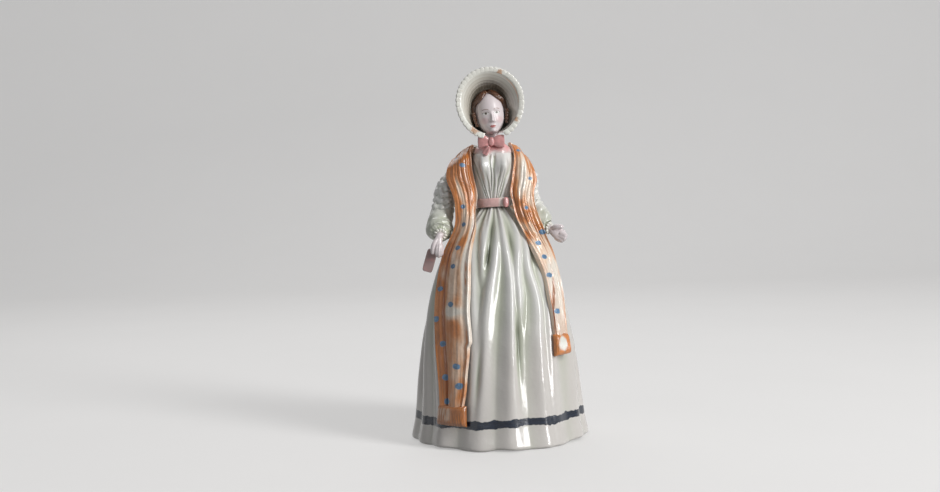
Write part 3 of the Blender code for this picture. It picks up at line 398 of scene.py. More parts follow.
def squared(value, power):
    """Power of a value that keeps its sign. Below 1 it squares off a sine or a cosine."""
    return np.sign(value) * np.abs(value) ** power


def taper(distance, length, least=0.0):
    """Rounded end: the square root of the distance from it as a share of length, and 1 beyond."""
    return np.sqrt(np.clip(distance / length, least, 1))


def outward(points):
    """Level unit direction away from the figure's axis."""
    level = points * (1, 1, 0)
    return level / np.linalg.norm(level, axis=-1, keepdims=True)


def tint(colour, factor):
    """Colour made darker or lighter by a factor."""
    return tuple(min(float(c) * factor, 1.0) for c in colour)


def blend(first, second, share):
    """Colour between two others."""
    return tuple(float(a) * (1 - share) + float(b) * share for a, b in zip(first, second))


def normals(points):
    """Unit normals of a grid of points, from the cross product of its two differences."""
    cross = np.cross(np.gradient(points, axis=0), np.gradient(points, axis=1))
    return cross / np.maximum(np.linalg.norm(cross, axis=2, keepdims=True), 1e-9)


def add_surface(name, points, material, wrap=(False, True), parts=(), **fields):
    """One object from grids of points in millimetres, with its UV map and number attributes.

    parts are further grids of the same object, each closed across its columns.
    """
    vertices, faces, uvs, start = [], [], [], 0
    for grid, (wrap_rows, wrap_columns) in ((points, wrap), *((part, (False, True)) for part in parts)):
        rows, columns = grid.shape[:2]
        i = np.arange(rows if wrap_rows else rows - 1)[:, None]
        j = np.arange(columns if wrap_columns else columns - 1)[None, :]
        below, beside = (i + 1) % rows, (j + 1) % columns
        corner = [i * columns + j, i * columns + beside, below * columns + beside, below * columns + j]
        quads = np.stack(corner, axis=-1).reshape(-1, 4)
        u, v = (j + 0 * i) / columns, (i + 0 * j) / rows
        across, down = 1 / columns, 1 / rows
        uv = [(u, v), (u + across, v), (u + across, v + down), (u, v + down)]
        uv = np.stack([np.stack(pair, axis=-1) for pair in uv], axis=2).reshape(-1, 4, 2)
        flat = grid.reshape(-1, 3)
        a, b, c, d = np.moveaxis(flat[quads], 1, 0)
        facing = ((a + b + c + d) / 4 - flat.mean(axis=0)) * np.cross(c - a, d - b)
        way = -1 if facing.sum() < 0 else 1
        faces.append(quads[:, ::way] + start)
        uvs.append(uv[:, ::way].reshape(-1, 2))
        vertices.append(flat)
        start += rows * columns
    mesh = bpy.data.meshes.new(name)
    mesh.from_pydata((np.concatenate(vertices) * MM).tolist(), [], np.concatenate(faces).tolist())
    layer = mesh.uv_layers.new(name="UVMap")
    layer.uv.foreach_set("vector", np.concatenate(uvs).ravel().astype(np.float32))
    for key, values in fields.items():
        values = np.broadcast_to(values, points.shape[:2]).ravel()
        values = np.concatenate((values, np.zeros(start - values.size)))
        mesh.attributes.new(key, "FLOAT", "POINT").data.foreach_set("value", values.astype(np.float32))
    mesh.shade_smooth()
    mesh.materials.append(material)
    piece = bpy.data.objects.new(name, mesh)
    bpy.context.scene.collection.objects.link(piece)
    return piece


def settle(piece, slot, *nodes):
    """Puts a piece on the frame in place of its solids."""
    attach(piece, "root")
    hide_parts(*nodes)


def path_frames(points):
    """Tangent, side and upward direction along a path."""
    tangent = np.gradient(points, axis=0)
    tangent /= np.linalg.norm(tangent, axis=1, keepdims=True)
    side = np.cross(tangent, (0.0, -1.0, 0.35))
    side /= np.linalg.norm(side, axis=1, keepdims=True)
    return tangent, side, np.cross(side, tangent)


def tube(points, wide, high, sides):
    """Closed rings round a path: an ellipse of half sizes wide and high, square to it."""
    _, side, up = path_frames(points)
    turn = full_turn(sides)[None, :, None]
    wide = np.broadcast_to(np.asarray(wide).T, (sides, len(points))).T[:, :, None]
    high = np.broadcast_to(np.asarray(high).T, (sides, len(points))).T[:, :, None]
    return points[:, None] + np.cos(turn) * side[:, None] * wide + np.sin(turn) * up[:, None] * high


def edged(count):
    """Shares from 0 to 1, closer together near both ends."""
    return 0.5 - 0.5 * np.cos(np.linspace(0, math.pi, count))


def edge_round(shares, length, radius):
    """Thickness share of a sheet that is rounded off within radius of its two ends."""
    near = np.clip(np.minimum(shares, 1 - shares) * length / radius, 0, 1)
    return np.sqrt(1 - (1 - near) ** 2)


def sheet(inner, thickness, away):
    """Closed grid round a sheet: the inner face, then the outer face that stands off it by thickness."""
    normal = normals(inner)
    normal = normal * np.where((normal * away).sum() < 0, -1, 1)
    outer = inner + normal * thickness[..., None]
    return np.concatenate((inner, outer[:, ::-1]), axis=1)


def both_faces(shape, **fields):
    """Fields of a sheet's inner face, mirrored for the outer face that follows it."""
    fields = {key: np.broadcast_to(field, shape) for key, field in fields.items()}
    return {key: np.concatenate((field, field[:, ::-1]), axis=1) for key, field in fields.items()}


class Field:
    """Shader value or colour, joined to others with the ordinary operators."""

    def __init__(self, tree, socket):
        self.tree = tree
        self.socket = socket

    def node(self, kind, inputs, output=0, **settings):
        """Adds a node with these settings and inputs, by index or name, and returns one of its outputs."""
        node = self.tree.nodes.new(kind)
        for key, value in settings.items():
            setattr(node, key, value)
        for key, value in inputs.items():
            if isinstance(value, Field):
                self.tree.links.new(value.socket, node.inputs[key])
            else:
                node.inputs[key].default_value = value
        return Field(self.tree, node.outputs[output])

    def math(self, operation, *others):
        """Math node on this value and the others."""
        return self.node("ShaderNodeMath", dict(enumerate((self, *others))), operation=operation)

    def __add__(self, other):
        return self.math("ADD", other)

    __radd__ = __add__

    def __mul__(self, other):
        return self.math("MULTIPLY", other)

    __rmul__ = __mul__

    def __sub__(self, other):
        return self.math("SUBTRACT", other)

    def __rsub__(self, other):
        return self.node("ShaderNodeMath", {0: other, 1: self}, operation="SUBTRACT")

    def __truediv__(self, other):
        return self.math("DIVIDE", other)

    def __rtruediv__(self, other):
        return self.node("ShaderNodeMath", {0: other, 1: self}, operation="DIVIDE")

    def __pow__(self, other):
        return self.math("POWER", other)

    def __neg__(self):
        return self * -1.0

    def smooth(self, low, high):
        """Smooth step from 0 at low to 1 at high."""
        limits = {"Value": self, "From Min": low, "From Max": high}
        return self.node("ShaderNodeMapRange", limits, interpolation_type="SMOOTHSTEP")

    def mix(self, first, second):
        """Colour that goes from the first to the second as this value goes from 0 to 1."""
        first, second = (c if isinstance(c, Field) else (*c, 1) for c in (first, second))
        return self.node("ShaderNodeMix", {0: self, 6: first, 7: second}, output=2, data_type="RGBA")


class Glaze:
    """A glazed ceramic material, made from fields."""

    def __init__(self, name):
        self.material = bpy.data.materials.new(name)
        self.material.use_nodes = True
        self.tree = self.material.node_tree
        self.shader = self.tree.nodes["Principled BSDF"]
        self.root = Field(self.tree, None)

    def place(self):
        """Place on the object, as a vector in millimetres."""
        coordinates = self.root.node("ShaderNodeTexCoord", {}, output="Object")
        return self.root.node("ShaderNodeVectorMath", {0: coordinates, "Scale": 1 / MM}, operation="SCALE")

    def axes(self):
        """x, y and z of the place, in millimetres."""
        place = self.place()
        return tuple(self.root.node("ShaderNodeSeparateXYZ", {0: place}, output=k) for k in range(3))

    def number(self, name):
        """Number attribute of the mesh."""
        return self.root.node("ShaderNodeAttribute", {}, output="Fac", attribute_name=name)

    def vector(self, x, y):
        """Flat vector for a noise that is stretched along a surface."""
        return self.root.node("ShaderNodeCombineXYZ", {0: x, 1: y})

    def noise(self, vector, scale, detail=2.0):
        """Noise about 0, within about half a unit."""
        inputs = {"Vector": vector, "Scale": scale, "Detail": detail}
        return self.root.node("ShaderNodeTexNoise", inputs) - 0.5

    def finish(self, colour, roughness, bump=None, coat=0.5):
        """Sets the colour, gloss and relief. bump is a height in millimetres."""
        inputs = self.shader.inputs
        self.tree.links.new(colour.socket, inputs["Base Color"])
        if isinstance(roughness, Field):
            self.tree.links.new(roughness.socket, inputs["Roughness"])
        else:
            inputs["Roughness"].default_value = roughness
        inputs["IOR"].default_value = GLAZE_IOR
        inputs["Coat Weight"].default_value = coat
        inputs["Coat Roughness"].default_value = COAT_ROUGHNESS
        if bump is not None:
            relief = self.root.node("ShaderNodeBump", {"Height": bump, "Distance": MM})
            self.tree.links.new(relief.socket, inputs["Normal"])
        return self.material


def body_glaze(name, ridge, pool):
    """White body under a clear glaze that is thicker and greener in the hollows.

    The attribute for pooled glaze and shade is 1 in a hollow and more in a deep pocket, where the colour
    goes much darker as painted shade. Slow noise varies the tint, and fine noise the gloss.
    """
    glaze = Glaze(name)
    vector = glaze.place()
    cloud = glaze.noise(vector, 0.06)
    hollow = glaze.number("pool") + cloud * 0.3
    colour = (hollow.smooth(0.1, 0.95) * 0.6).mix(ridge, pool)
    # Past a plain hollow the colour goes much darker: painted shade.
    colour = hollow.smooth(0.85, 1.6).mix(colour, tint(pool, 0.4))
    fleck = glaze.noise(vector, 1.4, 3.0).smooth(0.22, 0.32)
    colour = (fleck * 0.10).mix(colour, (0.55, 0.52, 0.46))
    relief = glaze.noise(vector, 0.35) * 0.12
    return glaze, colour, 0.18 + glaze.noise(vector, 0.9) * 0.06, relief


# Skirt


def skirt_sizes(z):
    """Half width and half depth of the skirt over its ridges: a bell that opens fast below the waist."""
    drop = 1 - np.asarray(z, float) / SKIRT_TOP
    rounded = (1 - np.exp(-SKIRT_FLARE * drop)) / (1 - math.exp(-SKIRT_FLARE))
    share = SKIRT_ROUND * rounded + (1 - SKIRT_ROUND) * drop
    return WAIST[0] + (HEM[0] - WAIST[0]) * share, WAIST[1] + (HEM[1] - WAIST[1]) * share


def on_skirt(z, azimuth, rise):
    """Points that stand off the skirt's ridges."""
    wide, deep = skirt_sizes(z)
    level = z + 0 * azimuth
    return np.stack(((wide + rise) * np.sin(azimuth), -(deep + rise) * np.cos(azimuth), level), axis=-1)


def all_folds():
    """Azimuth and strength of every fold at FOLD_HEIGHTS, those at the front first.

    The other folds are drawn forward at the waist, the more the farther they are from the back.
    """
    climb = (np.array(FOLD_HEIGHTS) / SKIRT_TOP) ** 1.5
    folds = list(FRONT_FOLDS)
    for hem in SIDE_FOLDS:
        pull = np.interp(min(hem, 360 - hem), (64, 180), (44, 0)) * np.sign(180 - hem)
        folds.append((hem + pull * climb, np.full(len(climb), 0.92 - 0.1 * math.sin(hem))))
    return folds


def fold_height(z, azimuth):
    """0 in a valley and 1 on a ridge: the fourth root of the summed fourth powers of one bell per fold."""
    width = through(FOLD_HEIGHTS, FOLD_WIDTHS, z)[:, None]
    total = 0.0
    for places, strengths in all_folds():
        place = through(FOLD_HEIGHTS, places, z)[:, None]
        strength = np.clip(through(FOLD_HEIGHTS, strengths, z), 0, 1)[:, None]
        total = total + (strength * bell(apart(azimuth[None], place), width)) ** 4
    return np.minimum(total**0.25, 1)


def pocket_depth(z, azimuth):
    """Sum of long narrow bells, each leaning with the fold that it lies beside."""
    total = 0.0
    for at, level, wide, high, lean, depth in POCKETS:
        above = z[:, None] - level
        total = total + depth * bell(apart(azimuth, at + lean * above), wide) * bell(above, high)
    return total


def skirt_surface(depth, band_half):
    """Bell by azimuth and height, set in below its ridges by the depth of the folds.

    The hem kicks out a little, is wavy below and rolls under.
    """
    arc = np.linspace(0, math.pi / 2, 8)
    rise = np.linspace(HEM_ROLL, SKIRT_TOP, 195)[1:]
    z = np.concatenate(((0, 0), HEM_ROLL * (1 - np.cos(arc)), rise, (SKIRT_TOP,)))
    tuck = np.concatenate(((6, 3), HEM_ROLL * (1 - np.sin(arc)), 0 * rise, (3,)))
    turn, level = full_turn(480), z[:, None]
    azimuth = np.degrees(turn)
    height, pocket = fold_height(z, azimuth), pocket_depth(z, azimuth)
    deepest = through(FOLD_HEIGHTS, FOLD_DEPTHS, z)[:, None]
    gather = 0.5 - 0.5 * np.cos(30 * turn + math.radians(40) * np.sin(3 * turn))
    gather = gather * step(104, 127, level)
    inset = depth * (deepest * (1 - height) + 0.75 * gather) + pocket
    wobble = 0.12 * np.sin(9 * turn + 0.11 * level) * np.sin(0.17 * level + 3 * turn)
    kick = HEM_KICK * step(13, 0, level) * (0.7 + 0.3 * height)
    points = on_skirt(level, turn[None], wobble + kick - inset - tuck[:, None])
    wave = np.sin(7 * turn + 0.8) + 0.6 * np.sin(11 * turn + 2.0)
    points[..., 2] += 0.5 * np.clip(0.5 + wave, 0, 2) * step(9, 0, level)
    middle = BAND_HEIGHT + 0.6 * np.sin(2 * turn + 0.5) + 0.3 * np.sin(7 * turn)
    half = band_half + 0.45 * bell(azimuth - 305, 35)
    half = half + sum(0.6 * bell(apart(azimuth, at), 2.4) for at in BAND_BLOTS)
    greener = np.clip(deepest / 2.2, 0.5, 1.1) * (0.62 + 0.38 * step(25, 95, level))
    # Valleys hold pooled glaze; the deep pockets add more, and there the skirt is painted darker as painted
    # shade.
    pool = (1 - height) * greener + pocket / 1.6 + 0.3 * gather
    return points, pool, np.abs(level - middle) - half


class LADY_OT_skirt(Operator):
    """Pleated skirt in pale glaze with a painted band above its hem"""

    bl_idname = "lady.skirt"
    bl_label = "Skirt"

    def execute(self, context):
        sizes, colours = context.scene.lady_sizes, context.scene.lady_colours
        points, pool, band = skirt_surface(sizes.fold_depth, sizes.band_width / 2 / MM)
        glaze, colour, gloss, relief = body_glaze("Skirt glaze", colours.dress, colours.pool)
        vector, (_, _, z) = glaze.place(), glaze.axes()
        # Towards the hem the dress is painted darker and warmer: painted shade and a painted warm reflection.
        low = z.smooth(85.0, 40.0) * 0.75
        painted_hem_shade = tuple(float(c) * f for c, f in zip(colours.dress, (0.91, 0.865, 0.85)))
        colour = (low * glaze.number("pool").smooth(1.1, 0.3)).mix(colour, painted_hem_shade)
        ragged = glaze.number("band") + glaze.noise(vector, 0.6, 5.0) * 1.3
        brush = glaze.noise(glaze.vector(z * 2.2, glaze.noise(vector, 0.2) * 9.0), 1.0, 3.0)
        navy = brush.smooth(-0.2, 0.35).mix(colours.band, tint(colours.band, 2.6))
        colour = ragged.smooth(0.25, -0.2).mix(colour, navy)
        piece = add_surface("skirt", points, glaze.finish(colour, gloss, relief), pool=pool, band=band)
        settle(piece, "celadon_glaze", "skirt_shell")
        return {"FINISHED"}


# Bodice


def bodice_points(rise, turn, offset):
    """Ellipse with its own front and back depth at each height above the waist, with two swells in front."""
    wide, front, back = through(BODICE_STATIONS[:, 0], BODICE_STATIONS[:, 1:], rise).T[..., None]
    sideways = np.abs((turn + math.pi) % TAU - math.pi)
    swell = SWELL_RISE * bell(sideways - SWELL_AZIMUTH, SWELL_WIDTH)
    out = offset + swell * bell(rise[:, None] - SWELL_HEIGHT, SWELL_SPREAD)
    ahead = np.cos(turn) > 0
    deep, fuller = np.where(ahead, -front, back), np.where(ahead, 0.78, 1.0)
    sine, cosine = squared(np.sin(turn), fuller), squared(np.cos(turn), fuller)
    x, y = (wide + out) * sine, -(deep + out) * cosine
    return np.stack((x, y, BODICE_BASE + rise[:, None] + 0 * turn), axis=-1)


def bodice_surface(pleat_depth):
    """Bodice with uneven pleats that fan out from the middle of the belt and pass between the swells."""
    turn = full_turn(540)[None]
    rise = np.linspace(0, BODICE_TOP, 180)
    flat = bodice_points(rise, turn, 0)
    x, y, z = np.moveaxis(flat, -1, 0)
    ray = (x + 0.8) / (1.05 + 0.105 * (z - 136))
    ray = ray + 0.2 * np.sin(2.3 * ray + 0.6) + 0.1 * np.sin(0.5 * z + 3 * ray)
    wave = (0.5 - 0.5 * np.cos(TAU * ray)) ** 1.4 * (0.72 + 0.28 * np.sin(1.7 * np.round(ray) + 1))
    fan = step(4.6, 3.4, np.abs(ray)) * step(-0.5, 2.5, -y)
    fade = 1 - 0.97 * bell(np.abs(x + 0.4) - 6.2, 3.0) * bell(z - 156, 6.5)
    fade = fade * (1 - 0.75 * step(152, 159, z) * step(2.0, 4.0, np.abs(x + 0.6))) * step(167, 161, z)
    pool = wave * fan * fade
    points = bodice_points(rise, turn, -pleat_depth * pool)
    return points, 1.25 * pool


def yoke_surface():
    """Skin over the top of the bodice: it lifts off over its lower edge and turns in at the neck."""
    rise = np.linspace(YOKE_BASE, BODICE_TOP, 60)
    offset = np.concatenate((-0.5 + 1.2 * step(YOKE_BASE, 32, rise), (0.5, 0.1, -2.6)))
    rise = np.concatenate((rise, BODICE_TOP + np.array((0.3, 0.5, 0.5))))
    return bodice_points(rise, full_turn(360)[None], offset[:, None])


def sash_surface():
    """Closed band round the waist: a squared ellipse in height and thickness, carried round and tilted."""
    around = full_turn(28)
    out, up = squared(np.cos(around), 0.55), squared(np.sin(around), 0.55)
    offset = SASH_SEAT + SASH_THICKNESS / 2 * (1 + out)
    points = bodice_points(SASH_WIDTH / 2 * (1 + up), full_turn(360)[None], offset[:, None])
    points[..., 2] += SASH_TILT * points[..., 0]
    return points


def tie_surface():
    """Squared oval that stands out from the middle of the sash at her left."""
    out = np.array((math.sin(TIE_AZIMUTH), -math.cos(TIE_AZIMUTH), 0))
    across = np.array((math.cos(TIE_AZIMUTH), math.sin(TIE_AZIMUTH), 0))
    offset = SASH_SEAT + SASH_THICKNESS
    seat = bodice_points(np.array((SASH_WIDTH / 2,)), np.array(((TIE_AZIMUTH,),)), offset)[0, 0]
    axes = np.array(TIE_HALF_SIZES)[:, None] * (across, out, (0, 0, 1))
    return blob(seat + out * 1.4, axes, 0.8)


def blob(centre, axes, power, rows=40, columns=56):
    """Closed form by latitude and longitude on three half axes, squarer as power falls below 1."""
    latitude = np.linspace(-math.pi / 2, math.pi / 2, rows)[:, None]
    longitude = full_turn(columns)[None]
    parts = np.cos(latitude), np.sin(latitude) + 0 * longitude, np.cos(longitude), np.sin(longitude)
    level, height, along, across = (squared(part, power) for part in parts)
    a, b, c = (level * along)[..., None], (level * across)[..., None], height[..., None]
    return np.asarray(centre) + a * axes[0] + b * axes[1] + c * axes[2]


class LADY_OT_bodice(Operator):
    """Pleated bodice with a tinted yoke, and the sash with its knot"""

    bl_idname = "lady.bodice"
    bl_label = "Bodice and sash"

    def execute(self, context):
        sizes, colours = context.scene.lady_sizes, context.scene.lady_colours
        points, pool = bodice_surface(sizes.pleat_depth / MM)
        # The bodice takes the dress glaze made lighter: painted light.
        glaze, colour, gloss, relief = body_glaze("Bodice glaze", tint(colours.dress, 1.12), colours.pool)
        piece = add_surface("gathered_bodice", points, glaze.finish(colour, gloss, relief), pool=pool)
        settle(piece, "celadon_glaze", "bodice")

        glaze, colour, gloss, relief = body_glaze("Yoke glaze", colours.dress, colours.pool)
        vector, (_, y, z) = glaze.place(), glaze.axes()
        blush = (z + glaze.noise(vector, 0.4) * 5.0).smooth(160.0, 165.5) * (-y).smooth(2.0, 6.0)
        colour = (blush * 0.8).mix(colour, tint(colours.rose, 1.35))
        piece = add_surface("yoke", yoke_surface(), glaze.finish(colour, gloss, relief))
        settle(piece, "rose_glaze", "collar")

        glaze, colour, gloss, relief = rose_glaze("Sash glaze", colours, 0.36)
        x, _, _ = glaze.axes()
        # A pale patch towards her left end of the sash is a painted highlight.
        colour = ((x - 4.4).math("ABSOLUTE").smooth(2.6, 0.8) * 0.7).mix(colour, colours.white)
        colour = x.smooth(5.6, 7.0).mix(colour, colours.dress)
        piece = add_surface("sash", sash_surface(), glaze.finish(colour, gloss, relief), wrap=(True, True))
        settle(piece, "rose_glaze", "belt")
        glaze, colour, gloss, relief = rose_glaze("Sash tie glaze", colours, 0.15)
        piece = add_surface("sash_tie", tie_surface(), glaze.finish(colour, gloss, relief))
        settle(piece, "rose_glaze", "sash_knot")
        return {"FINISHED"}


# Head and hair


def head_place(points):
    """From the head's own axes to the figure's. Face, hair and bonnet share one turn."""
    return np.asarray(points) @ HEAD_TURN.T + HEAD_CENTRE


def polar(grow, angle, turn):
    """Point of the grown skull by polar angle from the face and turn from the top to her left."""
    wide, deep, high = (half + grow for half in HEAD)
    x, z = wide * np.sin(angle) * np.sin(turn), high * np.sin(angle) * np.cos(turn)
    return np.stack((x, -deep * np.cos(angle) + 0 * x, z), axis=-1)


def head_surface():
    """Head by level and azimuth: an oval that narrows to the chin, with low reliefs for the features.

    Each relief is a product of two bells over the face's width and height.
    """
    share = -np.cos(np.linspace(0, math.pi, 220))[:, None]
    turn = full_turn(300)[None]
    oval, jaw = np.sqrt(np.maximum(1 - share**2, 0)), np.maximum(-share, 0)
    wide = HEAD[0] * np.where(share < 0, 1 - 0.35 * jaw**2, oval)
    wide = wide + (2.6 - wide) * jaw**4
    front = HEAD[1] * np.where(share < 0, 1 - 0.16 * jaw**2, oval)
    back = HEAD[1] * np.maximum(oval * (1 - 0.15 * jaw), 0.3 * jaw)
    close = np.sqrt(np.maximum(1 - np.clip((jaw - 0.84) / 0.16, 0, 1) ** 2, 0))
    deep = np.where(np.cos(turn) > 0, front, back)
    x, y, z = wide * close * np.sin(turn), -deep * close * np.cos(turn), HEAD[2] * share + 0 * turn
    mirror, facing = np.abs(x), np.where(np.cos(turn) > 0, 1.0, 0.0)
    level = z * FACE_HALF_HEIGHT / HEAD[2]
    bridge = 1.7 * bell(x, 0.75 + 0.4 * step(-2, -4.6, level))
    nose = bridge * step(1.6, -4.4, level) * step(-5.9, -4.7, level)
    wings = 0.45 * bell(mirror - 1.0, 0.55) * bell(level + 4.9, 0.7)
    socket = -0.6 * bell(mirror - 3.0, 1.9) * bell(level - 0.2, 1.5)
    lid = 0.32 * bell(mirror - 3.1, 1.2) * bell(level - 0.1, 0.75)
    brow = 0.22 * bell(mirror - 3.0, 2.2) * bell(level - 2.2, 0.8)
    lips = 0.5 * (bell(level + 7.45, 0.5) + bell(level + 8.5, 0.55)) - 0.12 * bell(level + 7.95, 0.3)
    lips = lips * bell(x, 1.5)
    chin = 0.55 * bell(x, 2.0) * bell(level + 11.0, 1.4)
    cheek = 0.3 * bell(mirror - 4.0, 2.0) * bell(level + 4.4, 2.2)
    y = y - facing * (nose + wings + socket + lid + brow + lips + chin + cheek)
    return np.stack((x, y, z), axis=-1)


def face_paint(glaze, skin, colours):
    """Brows, eyes, lips and blush painted by distance from plain curves in the head's own axes."""
    x, z, facing = glaze.number("face_x"), glaze.number("face_z"), glaze.number("facing")
    side = x.math("ABSOLUTE")
    cheek = ((side - 4.1) ** 2.0 + (z + 4.3) ** 2.0).smooth(7.5, 0.0)
    colour = (cheek * facing * 0.22).mix(skin, tint(colours.rose, 1.25))
    eye = ((side - 3.1) / 1.65) ** 2.0 + ((z - 0.05) / 0.77) ** 2.0
    colour = (eye.smooth(1.15, 0.85) * facing).mix(colour, (0.82, 0.81, 0.78))
    iris = ((side - 3.05) ** 2.0 + (z - 0.1) ** 2.0) ** 0.5
    within = eye.smooth(1.1, 0.9) * facing
    colour = (iris.smooth(0.74, 0.64) * within).mix(colour, (0.13, 0.10, 0.08))
    colour = (iris.smooth(0.36, 0.28) * within).mix(colour, (0.015, 0.012, 0.012))
    lash = (eye - 1.12).math("ABSOLUTE").smooth(0.34, 0.1) * (z + 0.05).smooth(-0.1, 0.35)
    colour = (lash * facing * 0.95).mix(colour, (0.07, 0.035, 0.022))
    crease = (eye - 2.2).math("ABSOLUTE").smooth(0.4, 0.0) * (z - 0.5).smooth(0.0, 0.4)
    colour = (crease * facing * 0.25).mix(colour, (0.5, 0.26, 0.18))
    arch = z - 2.55 + ((side - 3.2) / 2.0) ** 2.0 * 0.5
    brow = arch.math("ABSOLUTE").smooth(0.3, 0.08) * (side - 3.2).math("ABSOLUTE").smooth(2.0, 1.5)
    colour = (brow * facing * 0.85).mix(colour, (0.20, 0.09, 0.05))
    round_off = 1.0 - (x / 1.75) ** 2.0
    bow = round_off * (0.78 - 0.28 * (0.0 - (x / 0.5) ** 2.0).math("EXPONENT"))
    lip = (z + 7.95 - bow).smooth(0.12, -0.06) * (z + 7.95 + round_off * 0.82).smooth(-0.1, 0.06)
    colour = (lip * facing * round_off.smooth(0.0, 0.15) * 0.85).mix(colour, colours.lips)
    parting = (z + 7.93).math("ABSOLUTE").smooth(0.16, 0.02) * round_off.smooth(0.0, 0.3)
    return (parting * facing * 0.55).mix(colour, (0.22, 0.05, 0.04))


def hairline(turn):
    """Polar angle of the hair's front edge: a notch at the parting, drawn back beside the face."""
    degrees = np.degrees(turn)
    side = np.abs(degrees)
    return np.radians(55 + 18 * bell(degrees, 16) + 20 * step(40, 74, side) + 6 * (side / 90) ** 2)


def hair_surface():
    """Two smooth wings of hair by turn and polar angle, from the parting back into the bonnet."""
    turn = np.radians(np.linspace(-HAIR_REACH, HAIR_REACH, 240))[:, None]
    share = np.linspace(0, 1, 90)[None]
    angle = hairline(turn) + (math.radians(150) - hairline(turn)) * share
    side = np.abs(np.degrees(turn))
    body = HAIR_BODY * np.sqrt(1 - (1 - np.clip(share / 0.16, 0, 1)) ** 2) * step(1.02, 0.8, share)
    body = body * (1 - 0.4 * bell(side, 5)) * taper(HAIR_REACH - side, 9)
    body = body * (1 + 0.45 * step(40, 70, side) * step(0.6, 0.1, share))
    strands = 0.09 * np.sin(angle * 60 + 2.2 * np.sin(2.0 * turn)) + 0.06 * np.sin(angle * 103 + 3 * turn)
    outer = polar(0.3 + body * (1 + strands), angle, turn)
    inner = polar(0.2, angle, turn)
    points = np.concatenate((outer, inner[:, ::-1]), axis=1)
    return head_place(points), both_faces(angle.shape, round=np.degrees(turn), back=np.degrees(angle))


def ringlet_surface(side):
    """Beaded curl: a hanging path with a radius that swells at each bead and a spiral groove."""
    along = np.linspace(0, 1, 110)
    x = side * (HEAD[0] + 1.2 - 1.3 * along**2)
    y, z = -0.42 * HEAD[1] + 0 * along, 0.16 * HEAD[2] - RINGLET_LENGTH * along
    path = head_place(np.stack((x, y, z), axis=1))
    bead = np.abs(np.sin(RINGLET_BEADS * math.pi * along))
    radius = RINGLET_RADIUS * (0.72 + 0.28 * bead) * (1 - 0.3 * along)
    radius = radius * taper(np.minimum(along, 1 - along), 0.06)
    turn = full_turn(36)[None]
    radius = radius[:, None] * (1 + 0.1 * np.cos(2 * turn + 30 * along[:, None]))
    return tube(path, radius, radius, 36)


def neck_surface():
    """Upright tube that spreads at its foot."""
    rise = np.linspace(-4, 8, 30)[:, None]
    turn = full_turn(64)[None]
    spread = NECK_RADIUS + 0.9 * step(2, -3, rise)
    x, y = spread * np.sin(turn), -NECK_LEAD - spread * np.cos(turn)
    return np.stack((x, y, NECK_BASE + rise + 0 * turn), axis=-1)


class LADY_OT_head(Operator):
    """Head with a plain painted face, parted hair and two side curls"""

    bl_idname = "lady.head"
    bl_label = "Head and hair"

    def execute(self, context):
        colours = context.scene.lady_colours
        local = head_surface()
        glaze = Glaze("Face glaze")
        vector = glaze.place()
        cloud = glaze.noise(vector, 0.12).smooth(-0.3, 0.3)
        skin = cloud.mix(colours.flesh, tint(colours.flesh, 0.94))
        paint = face_paint(glaze, skin, colours)
        relief = glaze.noise(vector, 0.5) * 0.04
        face = glaze.finish(paint, 0.34 + glaze.noise(vector, 0.8) * 0.08, relief, 0.12)
        fields = {"face_x": local[..., 0], "face_z": local[..., 2] * FACE_HALF_HEIGHT / HEAD[2]}
        fields["facing"] = (local[..., 1] < -2) * 1.0
        piece = add_surface("face_and_neck", head_place(local), face, parts=(neck_surface(),), **fields)
        settle(piece, "flesh_glaze", "head")

        glaze = Glaze("Hair glaze")
        vector = glaze.place()
        strand = glaze.noise(glaze.vector(glaze.number("back") * 0.9, glaze.number("round") * 0.03), 1.0, 4.0)
        mottle = glaze.noise(vector, 0.5, 3.0)
        colour = strand.smooth(-0.25, 0.3).mix(tint(colours.hair, 0.45), tint(colours.hair, 1.5))
        colour = mottle.smooth(0.1, 0.4).mix(colour, tint(colours.hair, 0.6))
        hair = glaze.finish(colour, 0.13 + mottle * 0.06, strand * 0.2, 0.5)
        points, fields = hair_surface()
        piece = add_surface("parted_hair", points, hair, **fields)
        settle(piece, "brown_glaze", "hair")
        for side, node in ((-1, "right_ringlet"), (1, "left_ringlet")):
            curl = ringlet_surface(side)
            fields = {"round": curl[..., 0] * 9, "back": curl[..., 2] * 9}
            settle(add_surface(node.replace("ringlet", "curl"), curl, hair, **fields), "brown_glaze", node)
        return {"FINISHED"}


# Bonnet


def crown_edge(turn):
    """Polar angle of the crown's front edge, cut back behind the neck."""
    return np.radians(84 + 42 * step(95, 155, np.abs(np.degrees(turn))))


def brim_rim(turn, radius):
    """Front edge of the brim, a little longer below than above."""
    low = np.where(np.cos(turn) < 0, 1.12, 1.0)
    z = BRIM_RISE + radius * np.cos(turn) * low
    return np.stack((radius * np.sin(turn), -BRIM_REACH + 0 * z, z), axis=-1)


def brim_face(turn, share, rise):
    """Quadratic curve from the crown's edge out to the rim, for each turn."""
    start = polar(CROWN_RISE + rise, crown_edge(turn) + 0.05, turn)
    end = brim_rim(turn, BRIM_RADIUS + rise)
    bend = start * 0.55 + end * 0.45
    bend[..., 1] = start[..., 1] * 0.35 + end[..., 1] * 0.65
    s = share[..., None]
    return start * (1 - s) ** 2 + 2 * bend * s * (1 - s) + end * s**2


